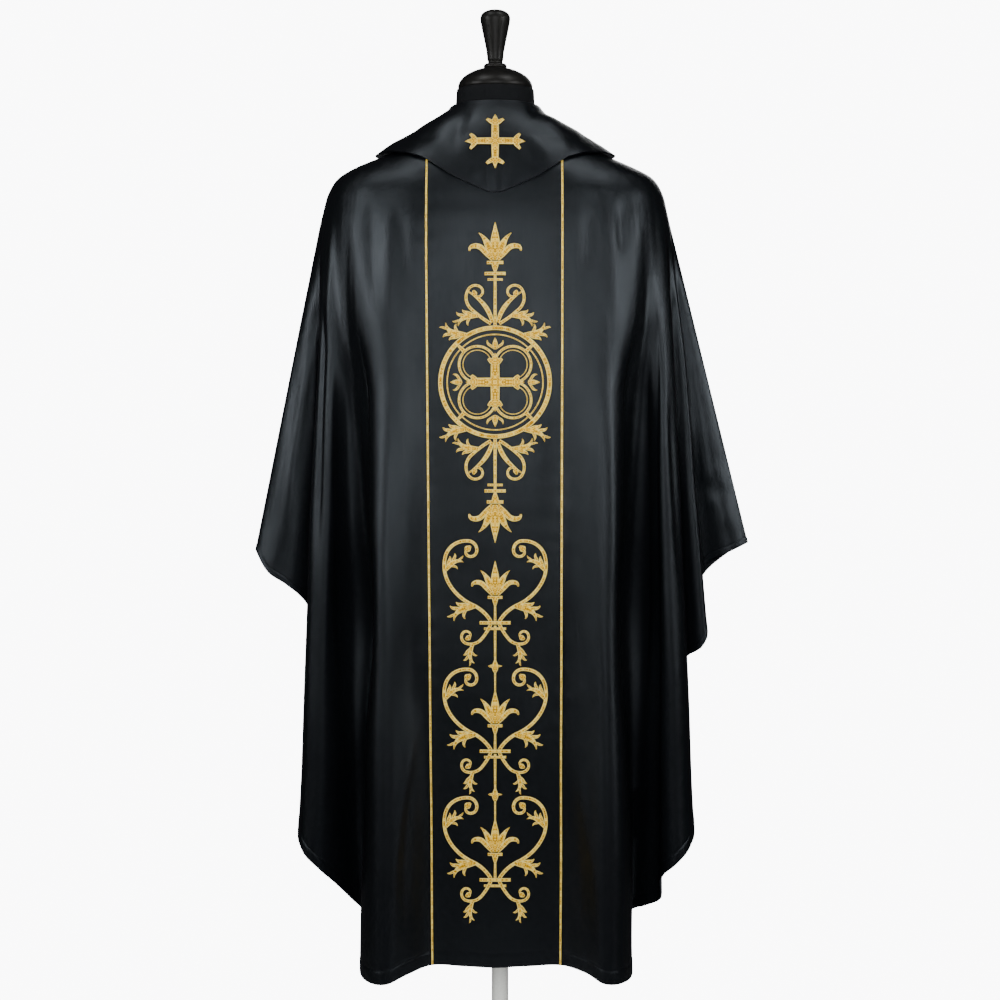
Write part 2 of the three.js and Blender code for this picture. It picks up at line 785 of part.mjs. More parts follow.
function arcOf(radius, start, sweep, width, heading = 0, out = 0) {
  const angle = THREE.MathUtils.degToRad(start);
  const arc = stroke(
    out + radius * Math.cos(angle), radius * Math.sin(angle), start + 90,
    [[THREE.MathUtils.degToRad(sweep) * radius, sweep]], [width, width],
  );
  return setAt([arc], { x: 0, y: 0, heading })[0];
}

// A cross whose arms end in a point between two blunt buds, which lean out by budTurn degrees
function crossStrokes(size, width, budTurn, budLength) {
  const bud = 0.2 * size;
  const tip = size / 2;
  return [0, 90, 180, 270].flatMap((heading) => {
    const budFoot = ray(heading, tip - bud * 0.9, 0, [1, 1]);
    const sideBuds = [-budTurn, budTurn].map((turn) => ({
      ...budFoot,
      heading: heading + turn,
      bends: [[bud * budLength, -turn * 0.3]],
      width: [width * 0.62, width * 0.4],
      swell: width * 0.16,
    }));
    const arm = ray(heading, -1, tip - bud + 3, [width, width * 0.95]);
    const point = ray(heading, tip - bud, bud, [width * 0.9, 0.6], width * 0.35);
    return [arm, point, ...sideBuds];
  });
}

// The medallion: a cross with four lobes in a ring, with volutes, leaves and a palmette above and below
const ringRadius = 78;
const ringWidth = 8.5;
const lobeRadius = 26;
const lobeOut = 36;
const crownStem = 84;
const medallionCross = { size: 84, width: 15, budTurn: 62, budLength: 0.72 };
const leafTurn = 60;

function crown() {
  const outer = stroke(6, 6, 30, [[36, 14], [30, 76]], [6.6, 5.4]);
  const inner = stroke(4, 8, 78, [[32, -30], [28, -20]], [6, 2], 4);
  const half = [outer, ...voluteOn(outer, 0.8, [5.4, 4.2]), ...acanthusOn(outer, 0.3, -30, 0.9, -1), inner];
  const middle = [stroke(0, 2, 90, [[crownStem, 0]], [6.5, 5]), ...tie(crownStem - 6, 15)];
  return moved([...mirrored(half), ...middle, ...moved(palmette(1.3), 0, crownStem + 6)], 0, ringRadius);
}

function medallion() {
  const ring = [-3, 177].map((start) => arcOf(ringRadius, start, 186, ringWidth));
  const diagonals = [45, 135, 225, 315];
  const lobes = diagonals.map((heading) => arcOf(lobeRadius, -112, 224, 5, heading, lobeOut));
  const spikes = diagonals.map((heading) => ray(heading, lobeOut + lobeRadius - 2, 16, [9, 5]));
  const leafFoot = new THREE.Vector2(ringRadius + 1, 0);
  leafFoot.rotateAround(new THREE.Vector2(), THREE.MathUtils.degToRad(leafTurn));
  const leaf = acanthus({ x: leafFoot.x, y: leafFoot.y, heading: -4 }, 0.95, 1);
  const top = [...crown(), ...mirrored(leaf)];
  const { size, width, budTurn, budLength } = medallionCross;
  const cross = crossStrokes(size, width, budTurn, budLength);
  return [...ring, ...lobes, ...spikes, ...cross, ...top, ...flipped(top)];
}

// One unit of the scrollwork: two stems that rise from a tie, bow out and wind in over a palmette,
// and two that wind up below it
const unitHeight = 184;

function scrollUnit() {
  const outer = stroke(6, 2, 60, [[36, -36], [46, 36], [40, 44], [30, 58]], [6.8, 6.6]);
  const foot = stroke(6, -2, -66, [[25, 16], [24, 66]], [6.4, 5.4]);
  const half = [
    outer, ...voluteOn(outer, 0.86, [6.6, 4.8], 14),
    ...acanthusOn(outer, 0.2, -30, 1, -1), ...acanthusOn(outer, 0.66, 40, 0.8, 1),
    foot, ...voluteOn(foot, 0.66, [5.4, 4]), ...acanthusOn(foot, 0.8, -50, 0.74, -1),
  ];
  const stalk = stroke(0, 0, 90, [[26, 0]], [5, 4]);
  return [...mirrored(half), stalk, ...tie(0, 22), ...moved(palmette(1.16), 0, 33)];
}

// Between two units a stalk with a bud runs from the palmette's tip to the next tie
const linkFoot = 84;
const budHeight = 122;

function link() {
  const stalk = stroke(0, linkFoot, 90, [[unitHeight - linkFoot - 4, 0]], [3.2, 4.8]);
  const bud = [stroke(0, -11, 90, [[22, 0]], [1, 1], 10), stroke(-10, 0, 0, [[20, 0]], [1, 1], 5.6)];
  return [stalk, ...moved(bud, 0, budHeight)];
}

function scrollColumn(units) {
  const strokes = [];
  for (let i = 0; i < units; i += 1) {
    strokes.push(...moved(scrollUnit(), 0, unitHeight * i));
    if (i < units - 1) strokes.push(...moved(link(), 0, unitHeight * i));
  }
  return strokes;
}

const medallionHeight = 1092;
const scrollFoot = 379;
const scrollUnits = 3;

function embroidery(strokes, z) {
  const solid = joined(strokes.map(strokeOutline));
  return laidOn(solid, (x, y, height) => ontoOrphrey(x, z + y, height));
}

add('embroidery_medallion', embroidery(medallion(), medallionHeight), goldThread);
add('embroidery_scrolls', embroidery(scrollColumn(scrollUnits), scrollFoot), goldThread);

// The collar's cross
function ontoCollar(x, z, height) {
  const surface = (turn, share) => collarPoint(back, turn, share);
  const [turn, share] = solveFor(surface, x, z, [90 + x / 5, 0.5], [0, 1]);
  const step = 0.01;
  const across1 = surface(turn + step, share).sub(surface(turn - step, share));
  const down = surface(turn, share + step).sub(surface(turn, share - step));
  const normal = down.cross(across1).normalize();
  return surface(turn, share).addScaledVector(normal, stitchGap + height);
}

const collarTilt = 0.94;
const collarBudTurn = 66;
const collarBudLength = 0.84;
const collarCross = crossStrokes(crossSize, crossArmWidth, collarBudTurn, collarBudLength);
const crossSolid = joined(collarCross.map(strokeOutline));
const placeOnCollar = (x, y, height) => ontoCollar(x, crossHeight + y * collarTilt, height);
add('collar_cross', laidOn(crossSolid, placeOnCollar), goldThread);

export default chasuble;
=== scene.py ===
import math
import bpy
import numpy as np
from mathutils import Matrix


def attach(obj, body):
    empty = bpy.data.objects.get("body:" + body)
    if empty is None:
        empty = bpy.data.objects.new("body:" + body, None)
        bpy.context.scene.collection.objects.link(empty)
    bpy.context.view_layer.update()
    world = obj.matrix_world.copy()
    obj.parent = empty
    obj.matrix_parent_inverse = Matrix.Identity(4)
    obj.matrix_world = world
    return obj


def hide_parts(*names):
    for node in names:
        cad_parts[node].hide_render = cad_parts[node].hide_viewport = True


# Gothic chasuble in black satin on a limbless dress form.
# Tables and shapes are in millimetres, as cut; meshes are made in metres.
# +Z is up and the garment's embroidered back faces -Y.

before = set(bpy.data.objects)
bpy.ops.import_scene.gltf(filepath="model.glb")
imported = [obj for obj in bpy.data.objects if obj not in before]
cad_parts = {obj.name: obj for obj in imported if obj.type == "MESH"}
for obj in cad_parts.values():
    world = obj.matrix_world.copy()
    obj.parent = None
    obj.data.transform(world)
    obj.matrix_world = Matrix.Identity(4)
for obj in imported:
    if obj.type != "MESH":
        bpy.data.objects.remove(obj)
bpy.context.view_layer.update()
print("frame loaded")

# The camera stands at the photograph's viewing angle
view = {"distance": 4.0, "height": 0.923, "lens": 97, "sensor": 36}


def setCamera():
    place = (0, -view["distance"], view["height"])
    bpy.ops.object.camera_add(location=place, rotation=(math.pi / 2, 0, 0))
    camera = bpy.context.object
    camera.data.lens = view["lens"]
    camera.data.sensor_width = view["sensor"]
    bpy.context.scene.camera = camera


setCamera()

# The cloth's shape
garment = {
    "shiftX": -7,            # the form hangs a little left of the pole
    "wall": 1.6,
    "seamGap": 0.3,
    "lineAtX": 98,           # gold lines, to each side of the middle
    "shoulderShare": 0.3,    # of the way from neckline to hem
    "shoulderGrip": 0.35,    # how long the cloth keeps the shoulder's slope
    "evenShare": 0.5,        # how evenly the folds leave the neckline
    "crowdLimit": 4,
}

# z, half width, depth at the back, depth at the front
shoulderRings = [
    (1478, 66, 68, 67),
    (1467, 79, 77, 76),
    (1454, 110, 86, 84),
    (1440, 146, 93, 91),
    (1428, 176, 98, 96),
    (1414, 208, 102.5, 101),
    (1398, 234, 107.5, 106),
    (1376, 248, 113, 112),
    (1345, 256, 119, 118),
]

# name, direction at the shoulders, and the fold's place at the hem: x, y, z
backFolds = [
    ("left wing edge", 0, -356, 0, 850),
    ("left wing", 3, -337, -19, 817),
    ("left wing", 6, -306, -22, 796),
    ("left wing", 9, -278, -10, 768),
    ("left wing valley", 11.5, -250, 2, 700),
    ("side fold back", 13.5, -262, -22, 590),
    ("side fold edge", 15.5, -288, -46, 455),
    ("side fold ridge", 18, -282, -78, 415),
    ("side fold face", 21.5, -258, -90, 389),
    ("side fold face", 25, -231, -76, 364),
    ("side fold valley", 29, -209, -42, 336),
    ("back fold valley", 33, -190, -36, 312),
    ("back fold flank", 36.5, -188, -78, 280),
    ("back fold edge", 40, -193, -134, 248),
    ("back fold ridge", 44.5, -178, -182, 239),
    ("back fold face", 50, -153, -199, 239),
    ("back fold face", 58, -125, -176, 249),
    ("left gold line", 67.2, -90, -142, 257),
    ("panel", 79, -46, -139, 255),
    ("middle", 90, 0, -141, 253),
    ("panel", 101, 47, -139, 255),
    ("right gold line", 112.2, 94, -142, 257),
    ("back fold face", 121, 129, -172, 251),
    ("back fold face", 129, 154, -200, 240),
    ("back fold ridge", 135, 181, -186, 239),
    ("back fold edge", 140, 198, -138, 246),
    ("back fold flank", 143.5, 193, -78, 280),
    ("back fold valley", 147, 199, -28, 316),
    ("inner flap", 150, 221, -40, 327),
    ("inner flap", 152.5, 242, -56, 340),
    ("side fold face", 155, 241, -84, 374),
    ("side fold face", 158, 262, -94, 394),
    ("side fold ridge", 161, 284, -78, 418),
    ("side fold edge", 163.5, 292, -50, 452),
    ("side fold back", 165.5, 270, -30, 550),
    ("short fold valley", 167.5, 255, -6, 650),
    ("short fold", 169.5, 281, -16, 690),
    ("short fold ridge", 171.5, 304, -32, 706),
    ("short fold edge", 173, 314, -22, 734),
    ("right wing valley", 174.5, 294, 1, 790),
    ("right wing", 176, 314, 0, 831),
    ("right wing", 178, 344, -12, 845),
    ("right wing edge", 180, 375, 0, 860),
]
frontFolds = [
    ("left wing edge", 0, -356, 0, 850),
    ("left wing", 4, -332, 21, 815),
    ("left wing", 8, -297, 28, 785),
    ("left wing valley", 11, -262, 22, 730),
    ("side fold edge", 14, -282, 42, 560),
    ("side fold ridge", 18, -268, 84, 470),
    ("side fold face", 23, -232, 98, 425),
    ("side fold valley", 30, -203, 58, 375),
    ("front fold flank", 36, -186, 92, 335),
    ("front fold ridge", 43, -176, 156, 315),
    ("front fold face", 52, -140, 172, 312),
    ("left gold line", 67.2, -91, 146, 318),
    ("panel", 79, -46, 142, 318),
    ("middle", 90, 0, 144, 317),
    ("panel", 101, 46, 142, 318),
    ("right gold line", 112.8, 92, 146, 318),
    ("front fold face", 127, 136, 176, 310),
    ("front fold ridge", 136, 172, 162, 312),
    ("front fold flank", 143, 184, 96, 332),
    ("side fold valley", 150, 206, 56, 372),
    ("side fold face", 157, 240, 96, 418),
    ("side fold ridge", 162, 272, 86, 455),
    ("side fold edge", 166, 290, 46, 540),
    ("right wing valley", 170, 276, 22, 700),
    ("right wing", 173, 304, 26, 800),
    ("right wing", 176.5, 344, 22, 842),
    ("right wing edge", 180, 375, 0, 860),
]

# Creases, as seen from behind: start x, z, end x, z, bow, half width, height.
# A trough has a height less than 0.
backCreases = [
    (-200, 1200, -206, 540, 0, 21, -20.0),
    (-199, 900, -200, 330, 0, 16, -11.0),
    (-224, 1150, -197, 560, 0, 8, -11.0),
    (204, 1200, 207, 540, 0, 21, -20.0),
    (200, 900, 206, 340, 0, 16, -11.0),
    (225, 1150, 203, 560, 0, 8, -11.0),
    (-254, 1230, -261, 800, 0, 7, -7.6),
    (-238, 1150, -247, 620, 0, 12, 3.6),
    (236, 1150, 247, 620, 0, 12, 5.0),
    (256, 1110, 276, 760, 2, 5, -3.6),
    (-178, 1372, -172, 1190, 3, 9, -2.0),
    (-206, 1366, -214, 1180, -4, 13, 1.8),
    (-152, 1368, -150, 1170, 2, 8, 1.3),
    (-137, 1352, -128, 1230, 0, 10, -1.4),
    (160, 1374, 172, 1180, -3, 9, 1.8),
    (182, 1360, 186, 1270, 2, 7, -2.6),
    (206, 1372, 216, 1180, 3, 12, 1.9),
    (136, 1352, 130, 1240, 0, 10, -1.6),
    (-238, 1360, -252, 1120, -2, 5, 1.6),
    (-268, 1180, -316, 850, 2, 6, 3.2),
    (-290, 1120, -330, 850, 0, 4, -1.6),
    (-300, 1060, -338, 880, -3, 4, 1.4),
    (262, 1250, 300, 930, -2, 6, 2.8),
    (306, 1060, 322, 900, 4, 9, 2.6),
    (330, 1010, 352, 890, -3, 8, -2.4),
    (316, 960, 338, 925, 6, 8, -3.0),
    (346, 940, 338, 872, 0, 6, 1.8),
    (-104, 640, -148, 330, 6, 6, 1.6),
    (-118, 560, -128, 300, 4, 7, -1.8),
    (110, 560, 146, 320, -6, 6, 1.8),
    (112, 470, 124, 290, -3, 6, -1.6),
    (-110, 760, -122, 600, 2, 8, -1.3),
    (114, 800, 124, 640, -2, 8, -1.3),
    (-160, 1120, -164, 700, -2, 10, 1.2),
    (166, 1130, 176, 720, 2, 10, 1.2),
]
frontCreases = [
    (-172, 1366, -168, 1180, 3, 9, -2.8),
    (-200, 1362, -208, 1170, -4, 12, 2.2),
    (170, 1368, 178, 1190, -3, 9, 2.4),
    (196, 1358, 200, 1230, 2, 8, -2.8),
    (-132, 1340, -126, 1210, 0, 10, 1.6),
    (134, 1344, 128, 1200, 0, 10, -1.6),
    (-300, 1080, -330, 880, 2, 6, 2.4),
    (304, 1090, 336, 890, -2, 7, 2.4),
    (-108, 660, -140, 380, 5, 6, 1.5),
    (110, 600, 138, 370, -5, 6, -1.6),
    (-150, 1080, -158, 700, -3, 10, 1.2),
    (156, 1060, 164, 690, 3, 10, 1.2),
]


def withGhosts(rows):
    rows = np.array(rows, float)
    return np.vstack([2 * rows[0] - rows[1], rows, 2 * rows[-1] - rows[-2]])


def foldTable(folds):
    # past a wing's edge the folds go on as their mirror in the seam
    rows = np.array([fold[1:] for fold in folds], float)
    first = rows[1] * [-1, 1, -1, 1]
    last = rows[-2] * [-1, 1, -1, 1] + [360, 0, 0, 0]
    return np.vstack([first, rows, last])


def foldColumn(folds, name):
    return [fold[0] for fold in folds].index(name)


shoulderTable = withGhosts(shoulderRings)


def clothHalf(word, side, depthColumn, length, folds, creases):
    return {"word": word, "side": side, "depth": depthColumn, "length": length,
            "table": foldTable(folds), "folds": folds, "creases": creases}


back = clothHalf("back", -1, 2, 1230, backFolds, backCreases)
front = clothHalf("front", 1, 3, 1170, frontFolds, frontCreases)


def alongRows(table, place):
    # smooth value between the rows, by a Catmull-Rom curve
    row = np.clip(np.floor(place).astype(int), 0, len(table) - 4)
    t = (place - row)[..., None]
    before, start, end, after = (table[row + i] for i in range(4))
    bend = 2 * before - 5 * start + 4 * end - after
    twist = 3 * start - before - 3 * end + after
    return start + 0.5 * t * (end - before + t * (bend + t * twist))


def unit(vectors):
    return vectors / np.maximum(np.linalg.norm(vectors, axis=-1, keepdims=True), 1e-9)


def shoulderPoint(half, turn, level):
    # turn goes from the left wing seam (0) to the right one (180), level from the neckline down
    turn, level = np.broadcast_arrays(np.asarray(turn, float), np.asarray(level, float))
    ring = alongRows(shoulderTable, level * (len(shoulderRings) - 1))
    z, width, depth = ring[..., 0], ring[..., 1], ring[..., half["depth"]]
    quarter = math.pi / 2
    edgeBelow = math.acos(garment["lineAtX"] / shoulderRings[-1][1]) / quarter
    edgeHere = np.arccos(np.minimum(garment["lineAtX"] / width, 0.9)) / quarter
    even = garment["evenShare"]
    crowded = np.maximum((edgeHere - even * edgeBelow) / (1 - even), 0.01)
    crowd = np.minimum(np.log(crowded) / math.log(edgeBelow), garment["crowdLimit"])
    fromWing = np.where(turn <= 90, turn, 180 - turn) / 90
    power = np.sign(fromWing) * np.abs(fromWing) ** crowd
    angle = (even * fromWing + (1 - even) * power) * quarter
    x = np.cos(angle) * width * np.where(turn <= 90, -1, 1)
    return np.stack([x, np.sin(angle) * depth * half["side"], z], -1)


def clothPoint(half, column, drop):
    # from the neckline (drop 0) over the shoulders and down the folds to the hem (drop 1)
    column, drop = np.broadcast_arrays(np.asarray(column, float), np.asarray(drop, float))
    fold = alongRows(half["table"], column)
    turn, hem = fold[..., 0], fold[..., 1:4]
    share = garment["shoulderShare"]
    top = shoulderPoint(half, turn, np.minimum(drop / share, 1))
    start = shoulderPoint(half, turn, 1.0)
    fall = hem - start
    lead = unit(start - shoulderPoint(half, turn, 0.99))
    lead = lead * np.linalg.norm(fall, axis=-1, keepdims=True) * garment["shoulderGrip"]
    t = np.clip((drop - share) / (1 - share), 0, 1)[..., None]
    hung = start * (1 + 2 * t) * (1 - t) ** 2 + lead * t * (1 - t) ** 2
    hung = hung + hem * t * t * (3 - 2 * t) + fall * t * t * (t - 1)
    return np.where((drop <= share)[..., None], top, hung)


def clothNormal(half, column, drop):
    step = 0.002
    low, high = np.maximum(drop - step, 0), np.minimum(drop + step, 1)
    across = clothPoint(half, column + step, drop) - clothPoint(half, column - step, drop)
    down = clothPoint(half, column, high) - clothPoint(half, column, low)
    return unit(np.cross(down, across)) * -half["side"]


def eased(share):
    return share * share * (3 - 2 * share)


# Troughs deeper than this begin sooner and close to a narrow bottom
deepTrough = {"from": -7, "fade": 0.2, "sharpness": 1.15}
softCrease = {"fade": 0.35, "sharpness": 2}


def creaseHeight(creases, x, z):
    height = np.zeros(np.shape(x))
    for x0, z0, x1, z1, bow, width, rise in creases:
        dx, dz = x1 - x0, z1 - z0
        length = math.hypot(dx, dz)
        along = ((x - x0) * dx + (z - z0) * dz) / length ** 2
        aside = ((x - x0) * dz - (z - z0) * dx) / length - bow * 4 * along * (1 - along)
        kind = deepTrough if rise < deepTrough["from"] else softCrease
        ends = np.clip(along / kind["fade"], 0, 1) * np.clip((1 - along) / softCrease["fade"], 0, 1)
        hill = np.exp(-np.abs(aside / width) ** kind["sharpness"])
        height += rise * hill * eased(ends)
    return height


# How the satin lies unevenly: waves with a rate across and along, a phase and a height each
unevenWaves = [
    (0.034, 0.005, 0.3, 0.34), (0.021, -0.008, 1.9, 0.5), (0.052, 0.009, 4.2, 0.16),
    (0.011, 0.009, 2.6, 0.5), (0.071, -0.006, 5.3, 0.09), (0.017, 0.016, 0.9, 0.12),
]


def uneven(x, z):
    height = np.zeros(np.shape(x))
    for acrossRate, alongRate, phase, rise in unevenWaves:
        wander = np.sin(z * 0.006 + phase)
        height += rise * np.sin(acrossRate * x * 2 + alongRate * z * 2 + phase + wander)
    return height


pucker = {"reach": 15, "least": 0.25, "most": 0.5, "waist": 760, "waistReach": 190}


def puckers(x, z):
    # the gold lines draw the cloth up into short ripples, most at the waist
    beside = np.abs(np.abs(x) - garment["lineAtX"])
    ripple = np.sin(z * 0.23 + np.sin(z * 0.045) * 2.2 + np.sign(x) * 1.3 + np.abs(x) * 0.05)
    atWaist = np.exp(-((z - pucker["waist"]) / pucker["waistReach"]) ** 2)
    strength = pucker["least"] + pucker["most"] * atWaist
    now = 0.55 + 0.45 * np.sin(z * 0.021 + x * 0.01)
    return strength * ripple * np.exp(-(beside / pucker["reach"]) ** 2) * now


blades = {"top": 1411, "turn": 38, "foot": 1130, "footFade": 240, "insideX": 96, "outsideX": 246,
          "middleRise": 0.4, "sideRise": 2.6}


def shelf(x, z):
    # under the collar the cloth leans back, and it turns down over the shoulder blades
    outside = np.clip((np.abs(x) - blades["insideX"]) / 24, 0, 1)
    down = np.clip((blades["top"] - z) / blades["turn"], 0, 1)
    fade = np.clip((z - blades["foot"]) / blades["footFade"], 0, 1)
    fade = fade * np.clip((blades["outsideX"] - np.abs(x)) / 26, 0, 1)
    return (blades["middleRise"] + blades["sideRise"] * outside) * eased(down) * eased(fade)


def relief(half, column, drop, points):
    # creases and ripples, none at the neckline and at the wing seams
    x, z = points[..., 0], points[..., 2]
    height = creaseHeight(half["creases"], x, z) + uneven(x, z * half["side"] * -1)
    height = height + puckers(x, z) + shelf(x, z)
    grown = np.clip(drop / 0.12, 0, 1)
    edges = np.clip(np.minimum(column, len(half["folds"]) - 1 - column) / 0.7, 0, 1)
    return height * grown * edges


def clothFace(half, column, drop, out):
    # the creased face, moved out by some millimetres
    column, drop = np.broadcast_arrays(np.asarray(column, float), np.asarray(drop, float))
    points = clothPoint(half, column, drop)
    rise = relief(half, column, drop, points) + out
    return points + clothNormal(half, column, drop) * rise[..., None]


# Meshes


def deselectAll():
    if bpy.context.object and bpy.context.object.mode != "OBJECT":
        bpy.ops.object.mode_set(mode="OBJECT")
    bpy.ops.object.select_all(action="DESELECT")


def pick(piece):
    deselectAll()
    piece.select_set(True)
    bpy.context.view_layer.objects.active = piece


def enclosed(points, faces):
    # six times the volume, less than 0 where the faces point inwards
    first = points[faces[:, 0]]
    total = 0.0
    for i in range(1, faces.shape[1] - 1):
        second, third = points[faces[:, i]], points[faces[:, i + 1]]
        total += np.einsum("ij,ij->i", first, np.cross(second, third)).sum()
    return total


def makePiece(name, points, faces, uv, smoothAngle=70):
    # points in millimetres about the garment's middle, and faces of four corners
    points = (np.asarray(points, float) + [garment["shiftX"], 0, 0]) * 0.001
    faces = np.asarray(faces, int)
    if enclosed(points, faces) < 0:
        faces = faces[:, ::-1]
    mesh = bpy.data.meshes.new(name)
    mesh.from_pydata(points.tolist(), [], faces.tolist())
    layer = mesh.uv_layers.new(name="cloth")
    corners = np.empty(len(mesh.loops), int)
    mesh.loops.foreach_get("vertex_index", corners)
    layer.data.foreach_set("uv", np.asarray(uv, float)[corners].ravel())
    piece = bpy.data.objects.new(name, mesh)
    bpy.context.collection.objects.link(piece)
    pick(piece)
    bpy.ops.object.shade_smooth_by_angle(angle=math.radians(smoothAngle))
    return piece


def gridFaces(grid):
    corners = [grid[:-1, :-1], grid[:-1, 1:], grid[1:, 1:], grid[1:, :-1]]
    return np.stack(corners, -1).reshape(-1, 4)


def shellFaces(rings, width):
    # a closed shell: the outer grid, back through the inner one, and the two side edges
    outer = np.arange(rings * width).reshape(rings, width)
    inner = outer + rings * width
    faces = [gridFaces(np.concatenate([outer, inner[::-1], outer[:1]]))]
    for column, order in ((0, 1), (width - 1, -1)):
        corners = [outer[:-1, column], outer[1:, column], inner[1:, column], inner[:-1, column]]
        faces.append(np.stack(corners, -1)[:, ::order])
    return np.concatenate(faces)


def tubeFaces(rows, around):
    # a tube whose ends are closed with strips of four-cornered faces
    index = np.arange(rows * around).reshape(rows, around)
    faces = [gridFaces(np.concatenate([index, index[:, :1]], 1))]
    for ring in (index[0], index[-1][::-1]):
        faces.append([[ring[i], ring[i + 1], ring[-2 - i], ring[-1 - i]] for i in range(around // 2 - 1)])
    return np.concatenate(faces)


def makeShell(name, outer, inner):
    points = np.concatenate([outer.reshape(-1, 3), inner.reshape(-1, 3)])
    uv = np.concatenate([clothUv(outer).reshape(-1, 2)] * 2)
    return makePiece(name, points, shellFaces(*outer.shape[:2]), uv)


def lengthsAlong(points, axis):
    steps = np.linalg.norm(np.diff(points, axis=axis), axis=-1)
    zero = np.zeros_like(np.take(steps, [0], axis=axis))
    return np.concatenate([zero, np.cumsum(steps, axis=axis)], axis=axis)


def evenColumns(half, first, last, count, drop=0.7):
    # columns that are evenly spaced on the cloth where its folds are deep
    fine = np.linspace(first, last, 4000)
    reach = lengthsAlong(clothPoint(half, fine, drop), 0)
    return np.interp(np.linspace(0, reach[-1], count), reach, fine)


def clothUv(points):
    # metres along the cloth, so that its threads keep their size
    rows = lengthsAlong(points, 0)
    columns = lengthsAlong(points[len(points) * 2 // 3][None], 1)
    return np.stack([np.broadcast_to(columns, rows.shape), rows], -1) * 0.001


def areaOf(piece):
    return sum(face.area for face in piece.data.polygons)


chasuble = {
    "columns": {"back": 262, "front": 190},
    "rows": {"back": 132, "front": 100},
    "hemRows": 22,
    "hemReach": 30,
    "hemDepth": 15,
    "hemRise": 0.45,
    "groove": 0.5,
}


def hemmed(drop, length):
    # the turned-up hem: a little thicker, with a stitched groove at its top
    above = (1 - drop) * length - chasuble["hemDepth"]
    fold = chasuble["hemRise"] / (1 + np.exp(np.clip(above / 0.8, -40, 40)))
    return fold - chasuble["groove"] * np.exp(-(above / 1.3) ** 2)


def dropRows(count, hemRows, hemShare):
    # even rows, with closer ones in the hem
    upper = np.linspace(0, 1 - hemShare, count)
    return np.concatenate([upper, 1 - hemShare + hemShare * (np.arange(hemRows) + 1) / hemRows])


def makeChasubleHalf(half):
    word, length = half["word"], half["length"]
    columns = evenColumns(half, 0, len(half["folds"]) - 1, chasuble["columns"][word])
    drops = dropRows(chasuble["rows"][word], chasuble["hemRows"], chasuble["hemReach"] / length)
    column, drop = np.meshgrid(columns, drops)
    inHem = np.exp(-(((1 - drop) * length - 12) / 10) ** 2)
    wrinkle = np.sin(column * 9.0 + np.sin(column * 2.3) * 3) * inHem * 0.22
    outer = clothFace(half, column, drop, hemmed(drop, length) + wrinkle)
    inner = clothFace(half, column, drop, -garment["wall"] + wrinkle * 0.6)
    for grid in (outer, inner):
        grid[:, [0, -1], 1] = half["side"] * garment["seamGap"] / 2
    piece = makeShell("chasuble" + word.capitalize(), outer, inner)
    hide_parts("chasuble_" + word)
    return piece


chasubleBack = makeChasubleHalf(back)
chasubleFront = makeChasubleHalf(front)
print("chasuble halves", len(chasubleBack.data.polygons), len(chasubleFront.data.polygons))

# Orphrey panels, and the gold lines beside them
orphrey = {
    "wall": 1.0, "lift": 0.35, "columns": 90, "rows": 230, "hemRows": 12, "hemShare": 0.02,
    "topDrop": 0.14, "inset": 2.3, "length": 1200,
}
goldLine = {"width": 4.0, "height": 1.9, "rows": 520, "across": 7, "strand": 0.16, "twist": 1.05}


def lineColumn(half, side):
    return float(foldColumn(half["folds"], side + " gold line"))


def columnBeside(half, column, drop, aside):
    # the column that lies some millimetres beside this one
    here = clothPoint(half, column, drop)
    near = clothPoint(half, column + 0.05, drop)
    return column + 0.05 * aside / np.linalg.norm(near - here, axis=-1)


def makeOrphrey(half):
    drops = dropRows(orphrey["rows"], orphrey["hemRows"], orphrey["hemShare"])
    drops = orphrey["topDrop"] + drops * (1 - orphrey["topDrop"])
    left = np.full(drops.shape, lineColumn(half, "left"))
    right = np.full(drops.shape, lineColumn(half, "right"))
    start = columnBeside(half, left, drops, orphrey["inset"])
    end = columnBeside(half, right, drops, -orphrey["inset"])
    share = np.linspace(0, 1, orphrey["columns"])
    column = start[:, None] + (end - start)[:, None] * share
    drop = np.broadcast_to(drops[:, None], column.shape)
    points = clothPoint(half, column, drop)
    x, z = points[..., 0], points[..., 2]
    calm = np.clip(np.minimum(share, 1 - share) / 0.08, 0, 1)
    ripple = 0.05 * np.sin(z * 0.2 + np.sin(x * 0.03) * 1.5)
    ripple = ripple + 0.06 * np.sin(z * 0.117 - x * 0.02 + 1.4)
    hem = hemmed(drop, orphrey["length"]) * 0.6
    outer = clothFace(half, column, drop, orphrey["lift"] + orphrey["wall"] + ripple * calm + hem)
    inner = clothFace(half, column, drop, orphrey["lift"])
    piece = makeShell("orphrey" + half["word"].capitalize(), outer, inner)
    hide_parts("orphrey_" + half["word"])
    return piece


def domeSection(count):
    # across from -1 to 1, with the height of a stitched ridge at each
    across = np.sin(np.linspace(-math.pi / 2, math.pi / 2, count))
    return across, np.sqrt(np.maximum(1 - np.abs(across) ** 2.6, 0))


def stitchUv(along, across, width):
    # along the stroke, and in from its edge; a fine stroke counts as a wider one
    seen = np.maximum(width, 7.5) / 2 * 0.001
    inward = (1 - np.abs(across))[None, :] * seen[:, None]
    return np.stack([np.broadcast_to(along[:, None], inward.shape), inward], -1)


